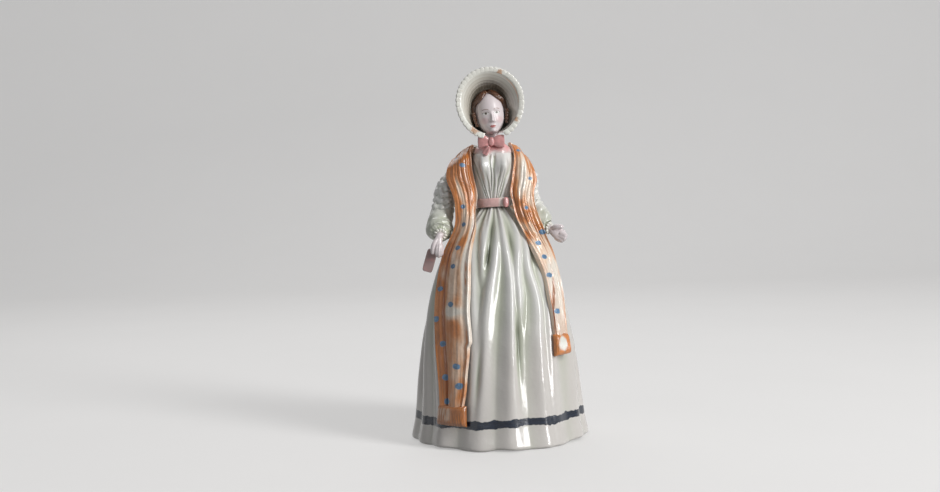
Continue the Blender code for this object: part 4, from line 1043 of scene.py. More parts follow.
def brim_surface():
    """Funnel with a rounded rim: inner face, then outer face, by turn and share from crown to rim.

    The inner face alone is painted darker towards the crown, at the top and towards her right, as painted
    shade. It has brushed streaks along the turn, and an ochre line near the rim.
    """
    turn = np.linspace(-BRIM_END, BRIM_END, 360)[:, None]
    share = edged(60)[None]
    thin = taper(BRIM_END - np.abs(turn), 0.06) * taper(1.0001 - share, 0.03)
    gather = 0.16 * np.cos(turn * 46) * step(0.75, 0.0, share)
    inner = brim_face(turn + 0 * share, share + 0 * turn, gather * 0.6)
    seat = 0.55 + 0.45 * step(0.0, 0.2, share)
    outer = brim_face(turn + 0 * share, share + 0 * turn, BONNET_WALL * thin * seat + gather)
    points = np.concatenate((inner, outer[:, ::-1]), axis=1)
    degrees = np.degrees(turn)
    # Painted shade: the inner face goes darker at the top and towards her right, and towards the crown below.
    high = 1 + 0.45 * bell(degrees - 12, 48) - 0.12 * np.sin(turn)
    brushed = 0.1 * np.sin(38 * share + 2 * np.sin(2 * turn))
    brushed = brushed + 0.07 * np.sin(67 * share + 3 * np.sin(turn + 1))
    fields = {"pool": np.clip((1.45 - 1.2 * share) * high + brushed, 0, 2)}
    fields["line"] = bell(degrees - 70, 45) * bell(share - 0.93, 0.05)
    return head_place(points), {key: np.concatenate((f, 0 * f), axis=1) for key, f in fields.items()}


def crown_surface():
    """Cap by turn and share from its front edge to its back: inner wall, then a gathered outer wall."""
    turn = full_turn(260)[None] - math.pi
    share = np.linspace(0, 0.985, 110)[:, None]
    angle = crown_edge(turn) + (math.pi - crown_edge(turn)) * share
    gather = CROWN_GATHER * np.abs(np.sin(turn * 11)) ** 1.5 * step(0.45, 1.0, share)
    gather = gather + 0.12 * bell(share, 0.05)
    outer = polar(CROWN_RISE + BONNET_WALL - gather, angle, turn)
    inner = polar(CROWN_RISE, angle, turn)
    lip = step(0.1, 0.0, share) + 0 * turn
    # The inner wall is painted darker, most near the front edge, and so is the outer wall's front row:
    # painted shade. The outer wall's gathers hold pooled glaze.
    pool = np.concatenate((0.7 + 0.9 * lip[::-1], gather / CROWN_GATHER + 1.4 * (share < 0.004)))
    return head_place(np.concatenate((inner[::-1], outer))), pool


def frill_surface(scallops):
    """Pie-crust edge: a squared ring carried along the rim whose width and lift follow slanted scallops."""
    turn = np.linspace(-BRIM_END, BRIM_END, 1200)[:, None]
    around = full_turn(24)[None]
    out, deep = squared(np.cos(around), 0.75), squared(np.sin(around), 0.75)
    phase = turn * scallops * math.pi / BRIM_END + 1.1 * deep
    lobe = np.abs(np.cos(phase / 2)) ** 0.5
    end = taper(BRIM_END - np.abs(turn), 0.05)
    width = FRILL_WIDTH * (0.79 + 0.21 * lobe)
    radius = BRIM_RADIUS - 0.1 + width * (1 + out) / 2 * end
    points = brim_rim(turn + 0 * around, radius)
    points[..., 1] += deep * (0.62 + 0.23 * out) * (0.72 + 0.28 * lobe) * end
    dab = sum(strength * bell(np.degrees(turn) - at, wide) for at, wide, strength in FRILL_DABS)
    # Grooves between the scallops go darker: pooled glaze and painted shade.
    fields = {"pool": 0.8 * (1 - lobe) ** 2, "dab": dab * (0.8 - 0.3 * out)}
    return head_place(points), fields


class LADY_OT_bonnet(Operator):
    """Bonnet: crown, funnel brim and its pie-crust frill with dabs of ochre"""

    bl_idname = "lady.bonnet"
    bl_label = "Bonnet"

    def execute(self, context):
        sizes, colours = context.scene.lady_sizes, context.scene.lady_colours
        glaze, colour, gloss, relief = body_glaze("Bonnet glaze", colours.white, colours.shade)
        line = (glaze.number("line") + glaze.noise(glaze.place(), 0.5) * 0.5).smooth(0.4, 0.9)
        colour = (line * 0.6).mix(colour, tint(colours.ochre, 1.3))
        white = glaze.finish(colour, gloss, relief)
        points, fields = brim_surface()
        settle(add_surface("brim", points, white, **fields), "white_glaze", "bonnet_brim")
        points, pool = crown_surface()
        settle(add_surface("crown", points, white, pool=pool), "white_glaze", "bonnet_crown")

        glaze, colour, gloss, relief = body_glaze("Frill glaze", colours.white, colours.shade)
        vector = glaze.place()
        dab = (glaze.number("dab") + glaze.noise(vector, 0.7, 3.0) * 0.9).smooth(0.45, 0.8)
        colour = (dab * 0.8).mix(colour, tint(colours.ochre, 0.75))
        points, fields = frill_surface(sizes.scallops)
        piece = add_surface("frill", points, glaze.finish(colour, gloss, relief), **fields)
        settle(piece, "white_glaze", "brim_frill")
        return {"FINISHED"}


# Bow


def rose_glaze(name, colours, pale):
    """Pink enamel with a share of white in it, uneven as brushed on, over the white body."""
    glaze = Glaze(name)
    rose = blend(colours.rose, colours.white, pale)
    vector = glaze.place()
    cloud = glaze.noise(vector, 0.35, 3.0)
    colour = cloud.smooth(-0.3, 0.3).mix(tint(rose, 0.82), tint(rose, 1.2))
    thin = glaze.noise(vector, 0.9, 4.0).smooth(0.12, 0.3)
    colour = (thin * 0.5).mix(colour, tint(colours.white, 0.95))
    return glaze, colour, 0.16 + cloud * 0.06, cloud * 0.15


def bow_loop(side):
    """Full ribbon loop: a squared ellipse carried outward, gathered at the knot and blunt at its end."""
    along = np.linspace(0, 1, 70)[:, None]
    turn = full_turn(72)[None]
    full = through((0, 0.2, 0.5, 0.88, 1), (0.62, 0.86, 1.0, 1.0, 0.96), along[:, 0])[:, None]
    full = full * taper(1.0 - along, 0.06)
    creases = 1 - 0.16 * np.abs(np.cos(3.5 * turn)) * (1 - along) ** 1.5
    up, deep = squared(np.cos(turn), 0.5), squared(np.sin(turn), 0.5)
    x = BOW[0] + side * (1.4 + BOW_LOOP_LENGTH * along) + 0 * turn
    y = BOW[1] + 0.7 * along**2 + BOW_LOOP_HALF_DEPTH * full * creases * deep
    z = BOW[2] + 0.3 * np.sin(math.pi * along) + BOW_LOOP_HALF_HEIGHT * full * creases * up
    return np.stack((x, y, z), axis=-1)


def bow_tail():
    """Short ribbon end: a flat tube that hangs from the knot and widens, with a crease along its middle."""
    along = np.linspace(0, 1, 50)
    drop = (-1.2 - 3.0 * along, -1.9 + 0.5 * along, -2.7 - BOW_TAIL_DROP * along)
    end = taper(np.minimum(along + 0.02, 1 - along), 0.08)
    turn = full_turn(40)[None]
    wide = (BOW_TAIL_HALF_WIDTH * (0.6 + 0.4 * along) * end)[:, None] + 0 * turn
    high = (BOW_TAIL_HALF_DEPTH * end)[:, None] * (1 - 0.35 * bell(np.abs(np.cos(turn)), 0.35))
    return tube(BOW + np.stack(drop, axis=1), wide, high, 40)


class LADY_OT_bow(Operator):
    """Bow under the chin: two loops, the knot and one short end"""

    bl_idname = "lady.bow"
    bl_label = "Bow"

    def execute(self, context):
        colours = context.scene.lady_colours
        glaze, colour, gloss, relief = rose_glaze("Bow glaze", colours, 0.12)
        rose = glaze.finish(colour, gloss, relief)
        for side, node in ((-1, "right_bow_loop"), (1, "left_bow_loop")):
            settle(add_surface(node.replace("bow_", ""), bow_loop(side), rose), "rose_glaze", node)
        knot = blob(BOW, np.diag(BOW_KNOT_HALF_SIZES), 0.75)
        settle(add_surface("knot", knot, rose), "rose_glaze", "bow_knot")
        settle(add_surface("bow_end", bow_tail(), rose), "rose_glaze", "bow_tail")
        return {"FINISHED"}


# Sleeves, cuffs, hands and book


def sleeve_path(stations, side, at):
    """Middle line and radius of a sleeve, smooth through its stations, mirrored by side."""
    read = through(np.arange(len(stations)), stations, at)
    return read[:, :3] * (side, 1, 1) + SHOULDER * (side, 1, 1), read[:, 3]


def sleeve_surface(stations, side, rise):
    """Tube along the arm: lumpy ruches above the elbow, then a full puff gathered into the cuff."""
    at = np.concatenate((np.linspace(0, 7.6, 260), np.linspace(7.6, 8, 24)[1:]))
    path, radius = sleeve_path(stations, side, at)
    turn, at = full_turn(120)[None], at[:, None]
    share = (at - RUCHE_START) / (RUCHE_END - RUCHE_START)
    share = share + 0.03 * np.sin(3 * turn + 1.7 * at) + 0.022 * np.sin(7 * turn + 4 * at)
    row = np.abs(np.sin(math.pi * RUCHE_ROWS * share)) ** 0.7
    ruched = step(-0.02, 0.08, share) * step(1.06, 0.96, share)
    count = np.floor(RUCHE_ROWS * share)
    lumps = 0.76 + 0.24 * np.sin(9 * turn + 5.1 * count) + 0.1 * np.sin(5 * turn + 2 * count)
    gather = np.abs(np.cos(9 * turn + 0.6 * np.sin(2 * at))) * step(6.2, 7.9, at)
    full = step(4.5, 5.4, at)
    dent = np.sin(3 * turn + 2.6 * at + 0.8) * np.sin(2 * turn - 3.1 * at) + 0.5 * np.sin(6 * turn + 4.3 * at)
    soft = 0.36 * dent * full * step(8.0, 7.0, at)
    out = ruched * rise * (row * lumps * 1.9 - 0.75) + soft - 0.45 * gather * step(8.05, 7.4, at)
    radius = radius[:, None] + out
    close = taper(8.02 - at, 0.2, 0.45)
    pool = ruched * 0.6 * (1 - row * lumps) + 0.5 * gather + full * np.clip(0.2 - 0.4 * dent, 0, 0.6)
    return tube(path, radius * close, radius * close, 120), np.clip(pool, 0, 1.1)


def cuff_place(stations, side):
    """Middle of the sleeve's mouth and the directions along and across it."""
    path, _ = sleeve_path(stations, side, np.linspace(0, 8, 60))
    tangent, across, up = path_frames(path)
    return path[-1], tangent[-1], across[-1], up[-1]


def lace_surface(stations, side):
    """Beaded ring round the sleeve's mouth: an oval carried round, larger at each bead."""
    middle, along, across, up = cuff_place(stations, side)
    turn, around = full_turn(360)[:, None], full_turn(24)[None]
    bead = np.abs(np.cos(LACE_BEADS / 2 * turn)) ** 0.6
    radius = LACE_RADIUS + LACE_WIDTH / 2 * (1 + np.cos(around)) * (0.7 + 0.3 * bead)
    forward = 0.6 + 0.95 * np.sin(around) * (0.6 + 0.4 * bead)
    spoke = np.cos(turn)[..., None] * across + np.sin(turn)[..., None] * up
    # Grooves between the beads go darker: pooled glaze and painted shade.
    return middle + radius[..., None] * spoke + forward[..., None] * along, 1 - bead


class LADY_OT_sleeves(Operator):
    """Ruched sleeves and the beaded lace at the wrists"""

    bl_idname = "lady.sleeves"
    bl_label = "Sleeves and cuffs"

    def execute(self, context):
        sizes, colours = context.scene.lady_sizes, context.scene.lady_colours
        # The sleeves take the dress glaze made lighter, painted light, and go darker towards the lower puffs,
        # painted shade.
        glaze, colour, gloss, relief = body_glaze("Sleeve glaze", tint(colours.dress, 1.18), colours.pool)
        _, _, z = glaze.axes()
        colour = (z.smooth(138.0, 124.0) * 0.48).mix(colour, colours.pool)
        sleeve = glaze.finish(colour, gloss, relief)
        glaze, colour, gloss, relief = body_glaze("Lace glaze", colours.white, colours.shade)
        lace = glaze.finish(colour, gloss, relief)
        for side, name, stations in ((-1, "right", RIGHT_SLEEVE), (1, "left", LEFT_SLEEVE)):
            points, pool = sleeve_surface(stations, side, sizes.ruche_rise / MM)
            settle(add_surface(name + "_arm", points, sleeve, pool=pool), "celadon_glaze", name + "_sleeve")
            points, pool = lace_surface(stations, side)
            piece = add_surface(name + "_lace", points, lace, wrap=(True, True), pool=pool)
            settle(piece, "white_glaze", name + "_cuff")
        return {"FINISHED"}


def limb(knots, radii):
    """Rounded tube through a few points, with a radius at each of them."""
    stations, last = np.arange(len(knots)), len(knots) - 1
    at = np.linspace(0, last, 40)
    radius = through(stations, radii, at) * taper(np.minimum(at, last - at) + 1e-3, 0.28, 1e-6)
    return tube(through(stations, knots, at), radius, radius, 28)


def hand_parts(stations, digits, middle, along):
    """Palm, fingers and thumb as tubes in one mesh, which a fine remesh then melts together."""
    wrist = middle + along * np.array((-2.5, 0.5, 2.0))[:, None]
    read = np.array(stations)
    path = np.concatenate((wrist, middle + read[:, :3]))
    wide, high = (np.concatenate(((1.9, 1.8, 1.7), half)) for half in (read[:, 3], read[:, 4]))
    knots, last = np.arange(len(path)), len(path) - 1
    at = np.linspace(0, last, 60)
    line, wide, high = (through(knots, values, at) for values in (path, wide, high))
    ends = taper(np.minimum(at, last - at), 0.5, 1e-6)
    palm = tube(line, wide * ends, high * ends, 36)
    return palm, [limb(middle + np.array(points), radii) for points, radii in digits]


class LADY_OT_hands(Operator):
    """Hands, and the small closed book in the right one"""

    bl_idname = "lady.hands"
    bl_label = "Hands and book"

    def execute(self, context):
        colours = context.scene.lady_colours
        glaze = Glaze("Hand glaze")
        vector = glaze.place()
        cloud = glaze.noise(vector, 0.25)
        colour = cloud.smooth(-0.3, 0.3).mix(colours.flesh, tint(colours.flesh, 0.9))
        skin = glaze.finish(colour, 0.2 + cloud * 0.08, cloud * 0.1)
        hands = (
            ("right", -1, RIGHT_SLEEVE, RIGHT_PALM, RIGHT_DIGITS),
            ("left", 1, LEFT_SLEEVE, LEFT_PALM, LEFT_DIGITS),
        )
        for name, side, sleeve, palm, digits in hands:
            middle, along, _, _ = cuff_place(sleeve, side)
            points, parts = hand_parts(palm, digits, middle, along)
            piece = add_surface(name + "_palm", points, skin, parts=parts)
            melt = piece.modifiers.new("Melt", "REMESH")
            melt.mode = "VOXEL"
            melt.voxel_size = HAND_VOXEL * MM
            melt.use_smooth_shade = True
            soften = piece.modifiers.new("Soften", "SMOOTH")
            soften.factor = 0.5
            soften.iterations = 6
            settle(piece, "flesh_glaze", name + "_hand")

        middle, _, _, _ = cuff_place(RIGHT_SLEEVE, -1)
        lean = np.array(Euler((0, BOOK_LEAN, 0)).to_matrix())
        book = blob((0, 0, 0), np.diag(BOOK_HALF_SIZES), 0.3, 90, 140) @ lean.T + middle + BOOK_PLACE
        glaze, colour, gloss, relief = body_glaze("Book glaze", colours.book, tint(colours.book, 0.8))
        vector = glaze.place()
        smudge = glaze.noise(vector, 0.3, 3.0).smooth(0.0, 0.35)
        colour = (smudge * 0.4).mix(colour, tint(colours.rose, 1.3))
        piece = add_surface("book", book, glaze.finish(colour, gloss, relief))
        settle(piece, "white_glaze", "small_book")
        return {"FINISHED"}


# Shawl


def hung_row(station, u):
    """Row above the waist from the shawl's outer to its inner edge, bulging outward between them."""
    outer, inner = station[:3], station[3:6]
    across = inner - outer
    level = abs(across[2]) < abs(across[0])
    out = np.cross(across, (0, 0, 1.0) if level else (0, 1.0, 0))
    out *= -np.sign(out[1] if level else -out[2]) / np.linalg.norm(out)
    return outer + across * u[:, None] + out * station[6] * np.sin(math.pi * u)[:, None]


def panel_inner(top, laid, u, v):
    """Inner face of a front panel, smooth through rows that hang from the shoulder and lie on the skirt."""
    rows = [hung_row(station, u) for station in np.array(top)]
    for z, outer, inner, outer_rise, inner_rise in laid:
        azimuth = np.radians(outer + (inner - outer) * u)
        rise = outer_rise + (inner_rise - outer_rise) * u - LAY
        rows.append(on_skirt(np.full(u.shape, float(z)), azimuth, rise))
    return through(np.arange(len(rows)), rows, v * (len(rows) - 1))


def panel_surface(top, laid, dots, marks, crease, notch, dot_radius):
    """Front panel: lengthwise pleats across its width, a rolled inner edge, and the distance to its dots."""
    u, v = edged(110), np.linspace(0, 1, 420)
    across, down = u[None], v[:, None]
    inner = panel_inner(top, laid, u, v)
    sway = 0.45 * np.sin(23 * down + 1.0) + 0.35 * np.sin(41 * down + 0.4)
    sway = sway + notch * step(0.6, 0.7, down) * step(0.806, 0.79, down)
    sway = sway * step(0.6, 1.0, across) * step(0.2, 0.4, down)
    width = inner[:, -1:] - inner[:, :1]
    inner = inner + width / np.linalg.norm(width, axis=2, keepdims=True) * sway[..., None]
    out = outward(inner)
    drift = 0.05 * np.sin(7 * down)
    start = crease[0][0]
    line = np.interp(v, *np.transpose(crease))[:, None] + 0.4 * drift
    groove = bell(across - line, 0.045) * step(start - 0.05, start + 0.1, down)
    second = bell(across - 0.66 + drift, 0.04) * step(0.1, 0.25, down) * step(0.6, 0.45, down)
    groove = groove + 0.4 * second
    wave = 0.45 * np.cos(TAU * 1.5 * across)
    body = inner + out * wave[..., None]
    length = np.linalg.norm(np.diff(body[:, 55], axis=0), axis=1).sum()
    fine = 0.1 * np.cos(TAU * 7 * (across + drift)) + 0.05 * np.cos(TAU * 13 * (across - drift) + 9 * down)
    rolls = 0.6 * bell(across - 0.955, 0.045) + 0.3 * bell(across - 0.03, 0.04)
    thick = SHAWL_THICKNESS + fine - groove + rolls - 0.45 * bell(across - 0.88, 0.04)
    thick = thick * edge_round(across, 20, 1.0) * edge_round(down, length, 0.8)
    points = sheet(body, thick, out)
    near = FAR
    for dot in dots:
        away = np.linalg.norm((inner - panel_spot(inner, u, v, *dot)) * (1, 1, 1.2), axis=2)
        near = np.minimum(near, away - dot_radius * (0.6 + 0.52 * dot[1]))
    pool = np.maximum(groove, bell(across - line, 0.08) * step(start, 0.8, down))
    brush = 0.0
    for at, row, wide, high, load in marks:
        brush = brush + load * bell(across - at, wide) * bell(down - row, high)
    fields = {"across": across, "down": down * length, "share": down}
    return points, both_faces(groove.shape, dot=near, pool=pool, brush=brush, **fields)


def panel_spot(body, u, v, across, down):
    """Point of the panel's grid nearest to a share across and a share down."""
    return body[np.abs(v - down).argmin(), np.abs(u - across).argmin()]


def shawl_glaze(name, colours, streaks):
    """Shawl enamel: cream brushed lengthwise with orange and ochre, lined at the edges, with blue dots."""
    glaze = Glaze(name)
    vector = glaze.place()
    across, down, share = glaze.number("across"), glaze.number("down"), glaze.number("share")
    sway = glaze.noise(vector, 0.05) * 0.2
    stroke = glaze.noise(glaze.vector((across + sway) * streaks, down * 0.04), 1.0, 2.0)
    fine = glaze.noise(glaze.vector((across + sway) * streaks * 3.0, down * 0.07), 1.0, 3.0)
    patch = glaze.noise(vector, 0.09, 2.0)
    load = glaze.number("brush")
    thin = stroke + fine * 0.15 + patch * 0.5 + load * 0.6
    colour = thin.smooth(-0.22, 0.3).mix(colours.cream, colours.ochre)
    strong = stroke * 0.9 + patch * 0.6 + fine * 0.2 + load
    colour = strong.smooth(0.02, 0.42).mix(colour, colours.orange)
    colour = strong.smooth(0.36, 0.75).mix(colour, tint(colours.orange, 0.68))
    bare = (patch * 0.9 - stroke * 0.7 - load * 1.4).smooth(0.12, 0.6)
    colour = (bare * 0.9).mix(colour, blend(colours.cream, colours.white, 0.7))
    crease = (glaze.number("pool") + fine * 0.4).smooth(0.2, 0.9)
    colour = (crease * 0.85).mix(colour, blend(tint(colours.orange, 0.55), colours.rose, 0.1))
    low = (share + patch * 0.4).smooth(0.72, 1.0)
    colour = (low * 0.3).mix(colour, tint(colours.orange, 0.9))
    edge = (across - 0.9 + fine * 0.05).math("ABSOLUTE").smooth(0.045, 0.012)
    ragged = (patch + fine * 0.4).smooth(-0.12, 0.12)
    colour = (edge * ragged * 0.85).mix(colour, colours.orange)
    # Along the rolled inner edge the colour goes paler: a cream edge and a painted highlight.
    rim = (across + fine * 0.04).smooth(0.925, 0.955)
    colour = (rim * (0.6 - 0.5 * ragged)).mix(colour, blend(colours.cream, colours.white, 0.6))
    hem = (across - 0.07 + fine * 0.05).math("ABSOLUTE").smooth(0.05, 0.015)
    colour = (hem * (1.0 - ragged) * 0.7).mix(colour, colours.orange)
    dot = (glaze.number("dot") + glaze.noise(vector, 0.45, 2.0) * 0.8).smooth(0.3, -0.3)
    spot = glaze.noise(vector, 0.5).smooth(-0.3, 0.3).mix(tint(colours.dots, 0.75), tint(colours.dots, 1.4))
    colour = dot.mix(colour, spot)
    lumps = glaze.noise(vector, 0.22, 2.0) * 0.7
    return glaze.finish(colour, 0.16 + patch * 0.05, stroke * 0.22 + fine * 0.05 + lumps)


def end_surface(laid):
    """Thick border below a front panel: a rounded slab by azimuth and height with short fringe grooves."""
    u, v = edged(120), edged(70)
    across, down = u[None], v[:, None]
    rows = []
    for z, outer, inner, rise in laid:
        rows.append(on_skirt(np.full(u.shape, float(z)), np.radians(outer + (inner - outer) * u), rise))
    body = through((0, 1), rows, v)
    groove = np.abs(np.sin(TAU * 6 * across + 0.5 * np.sin(5 * down))) ** 0.6
    thick = END_THICKNESS - 0.3 * (1 - groove) * step(0.25, 0.5, down)
    thick = thick * edge_round(across, 16, 2.4) * edge_round(down, 10, 2.4)
    return sheet(body, thick, outward(body)), both_faces(groove.shape, across=across, down=down)


class LADY_OT_shawl(Operator):
    """Shawl: two dotted fronts, their thick borders and the back"""

    bl_idname = "lady.shawl"
    bl_label = "Shawl"

    def execute(self, context):
        sizes, colours = context.scene.lady_sizes, context.scene.lady_colours
        glaze = shawl_glaze("Shawl glaze", colours, sizes.streaks)
        radius = sizes.dot_radius / MM
        fronts = (
            ("right", RIGHT_PANEL_TOP, RIGHT_PANEL_SKIRT, RIGHT_DOTS, RIGHT_MARKS, RIGHT_CREASE, 1.5, radius),
            ("left", LEFT_PANEL_TOP, LEFT_PANEL_SKIRT, LEFT_DOTS, LEFT_MARKS, LEFT_CREASE, 0, 0.9 * radius),
        )
        for name, *layout in fronts:
            points, fields = panel_surface(*layout)
            piece = add_surface(name + "_front", points, glaze, **fields)
            settle(piece, "ochre_glaze", f"shawl_{name}_front")
        self.ends(colours)
        points, fields = back_surface(0.8 * radius)
        settle(add_surface("back", points, glaze, **fields), "ochre_glaze", "shawl_back")
        return {"FINISHED"}

    def ends(self, colours):
        """Borders brushed as orange fringe: combed over cream at her right, with a pale oval at her left."""
        orange = colours.orange
        for name, laid in (("right", RIGHT_END), ("left", LEFT_END)):
            glaze = Glaze(f"{name.capitalize()} border glaze")
            across, down = glaze.number("across"), glaze.number("down")
            fringe = glaze.noise(glaze.vector(across * 22.0, down * 1.2), 1.0, 3.0)
            patch = glaze.noise(glaze.place(), 0.3, 3.0)
            if name == "right":
                stroke = (fringe + patch * 0.4).smooth(-0.25, 0.25)
                colour = stroke.mix(tint(orange, 0.52), tint(orange, 0.88))
                comb = (fringe - across * 0.12 + 0.02).smooth(-0.06, 0.06) * across.smooth(0.62, 0.45)
                bare = across.smooth(0.6, 0.45) * (down - 0.45).math("ABSOLUTE").smooth(0.38, 0.2)
                colour = (bare * 0.6).mix(colour, colours.cream)
                colour = (comb * 0.85).mix(colour, tint(orange, 0.6))
            else:
                stroke = (fringe * 0.5 + patch).smooth(-0.3, 0.25)
                colour = stroke.mix(tint(orange, 0.7), tint(orange, 1.2))
                oval = ((across - 0.6) / 0.25) ** 2.0 + ((down - 0.46) / 0.33) ** 2.0
                colour = (oval + patch * 1.2).smooth(1.5, 0.5).mix(colour, colours.white)
            border = glaze.finish(colour, 0.18 + patch * 0.05, fringe * 0.2)
            points, fields = end_surface(laid)
            piece = add_surface(name + "_border", points, border, **fields)
            settle(piece, "ochre_glaze", f"shawl_{name}_end")


def back_surface(dot_radius):
    """Back of the shawl from shoulder to shoulder: smooth through rows from its lower to its neck edge."""
    u, v = edged(120), np.linspace(0, 1, 260)
    rows = []
    for station in np.array(BACK_ROWS):
        low, high = station[:3], station[3:6]
        out = outward(low) + (0, 0, 0.6)
        rows.append(low + (high - low) * u[:, None] + out * station[6] * np.sin(math.pi * u)[:, None])
    body = through(np.arange(len(rows)), rows, v * (len(rows) - 1))
    across, down = u[None], v[:, None]
    fold = 0.35 * np.cos(TAU * 3 * across + 2 * np.sin(5 * down)) * step(1, 0.8, across)
    thick = SHAWL_THICKNESS + fold * step(0, 0.1, down) * step(1, 0.9, down)
    thick = thick * edge_round(across, 40, 1.0) * edge_round(down, BACK_SPAN, 0.8)
    points = sheet(body, thick, body * (1, 1, 0) + (0, 0, 10.0))
    near = FAR
    for dot in BACK_DOTS:
        near = np.minimum(near, np.linalg.norm(body - panel_spot(body, u, v, *dot), axis=2) - dot_radius)
    pool = np.clip(-fold / 0.35 - 0.3, 0, 1)
    fields = {"across": across, "down": down * BACK_SPAN, "share": 0.3}
    return points, both_faces(fold.shape, dot=near, pool=pool, brush=0.0, **fields)


# Foot and stage


class LADY_OT_foot(Operator):
    """Unglazed foot: the plate's own solid in a procedural bisque"""

    bl_idname = "lady.foot"
    bl_label = "Foot plate"

    def execute(self, context):
        bisque = context.scene.lady_colours.bisque
        glaze = Glaze("Bisque")
        vector = glaze.place()
        grain = glaze.noise(vector, 0.8, 4.0)
        colour = grain.smooth(-0.3, 0.3).mix(bisque, tint(bisque, 0.85))
        material = glaze.finish(colour, 0.75 + grain * 0.2, grain * 0.2, 0.0)
        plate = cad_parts["base_plate"]
        if not plate.material_slots:
            plate.data.materials.append(material)
        for slot in plate.material_slots:
            slot.link = "OBJECT"
            slot.material = material
        return {"FINISHED"}


def paper_surface():
    """Sheet of paper by share of its run: flat, then a quarter bend, then upright."""
    share = np.linspace(0, 1, 120)[:, None]
    flat, upright = np.clip(share / 0.5, 0, 1), np.clip((share - 0.75) / 0.25, 0, 1)
    bend = np.clip((share - 0.5) / 0.25, 0, 1) * math.pi / 2
    x = np.linspace(-PAPER_HALF_WIDTH, PAPER_HALF_WIDTH, 40)[None]
    y = PAPER_FRONT + PAPER_FLAT * flat + PAPER_BEND * np.sin(bend)
    z = PAPER_BEND * (1 - np.cos(bend)) + PAPER_WALL * upright - PAPER_DROP
    return np.stack((x + 0 * y, y + 0 * x, z + 0 * x), axis=-1)


class LADY_OT_stage(Operator):
    """Pale curved backdrop, camera and studio lights"""

    bl_idname = "lady.stage"
    bl_label = "Stage"

    def execute(self, context):
        settings = context.scene.lady_stage
        paper = Glaze("Backdrop paper")
        grain = paper.noise(paper.place(), 0.01, 3.0)
        x, y, _ = paper.axes()
        colour = grain.smooth(-0.4, 0.4).mix(tint(settings.floor, 0.7), tint(settings.floor, 0.68))
        away = ((x * x + y * y) ** 0.5).smooth(250.0, 700.0) * y.smooth(0.0, -300.0)
        colour = away.mix(colour, tint(settings.floor, 0.18))
        seen = self.seen(paper.tree)
        colour = seen.mix(tint(settings.floor, 0.25), colour)
        glow = (seen * settings.lift).mix((0.0, 0.0, 0.0), settings.floor)
        paper.tree.links.new(glow.socket, paper.shader.inputs["Emission Color"])
        paper.shader.inputs["Emission Strength"].default_value = 1.0
        matt = paper.finish(colour, 0.8, coat=0.0)
        add_surface("backdrop", paper_surface(), matt, wrap=(False, False))

        camera = bpy.data.cameras.new("Photo camera")
        camera.sensor_width = 36
        camera.lens = settings.lens
        camera.clip_start = 0.02
        camera.clip_end = 50
        holder = bpy.data.objects.new("Photo camera", camera)
        pitch = Matrix.Rotation(math.radians(90 + CAMERA_PITCH), 4, "X")
        roll = Matrix.Rotation(math.radians(CAMERA_ROLL), 4, "Z")
        holder.matrix_world = Matrix.Translation(Vector(CAMERA_PLACE) * MM) @ pitch @ roll
        context.scene.collection.objects.link(holder)
        context.scene.camera = holder

        for name, power, place, size in LAMPS:
            self.lamp(context, name, place, size, getattr(settings, power))
        world = bpy.data.worlds.new("Studio")
        world.use_nodes = True
        even = tint((0.9, 0.94, 1.0), settings.ambient)
        sky = self.seen(world.node_tree).mix(even, tint(settings.floor, settings.lift))
        world.node_tree.links.new(sky.socket, world.node_tree.nodes["Background"].inputs["Color"])
        context.scene.world = world
        context.scene.view_settings.view_transform = "Standard"
        return {"FINISHED"}

    def seen(self, tree):
        """1 for a ray that comes straight from the camera, off a gloss or through glass, else 0."""
        kinds = ("Is Camera Ray", "Is Glossy Ray", "Is Transmission Ray")
        first, *others = (Field(tree, None).node("ShaderNodeLightPath", {}, output=kind) for kind in kinds)
        for other in others:
            first = first.math("MAXIMUM", other)
        return first

    def lamp(self, context, name, place, size, power):
        """Rectangular lamp that faces the figure's middle."""
        light = bpy.data.lights.new(name, "AREA")
        light.shape = "RECTANGLE"
        light.size, light.size_y = size[0] * MM, size[1] * MM
        light.energy = power
        holder = bpy.data.objects.new(name, light)
        aim = (Vector(LAMP_AIM) - Vector(place)) * MM
        turn = aim.to_track_quat("-Z", "Y").to_matrix().to_4x4()
        holder.matrix_world = Matrix.Translation(Vector(place) * MM) @ turn
        context.scene.collection.objects.link(holder)


# Add-on


def colour_property(name, description, default):
    """Colour in linear shares of red, green and blue."""
    return FloatVectorProperty(
        name=name, description=description, default=default, subtype="COLOR", size=3, min=0.0, max=1.0
    )


def length_property(name, description, default, most):
    """Length in metres."""
    return FloatProperty(
        name=name, description=description, default=default, min=0.0, max=most, unit="LENGTH", precision=5
    )


def share_property(name, description, default, most):
    """Plain number from zero."""
    return FloatProperty(name=name, description=description, default=default, min=0.0, max=most)


def power_property(name, description, default):
    """Power of a lamp in watts."""
    return FloatProperty(name=name, description=description, default=default, min=0.0, unit="POWER")


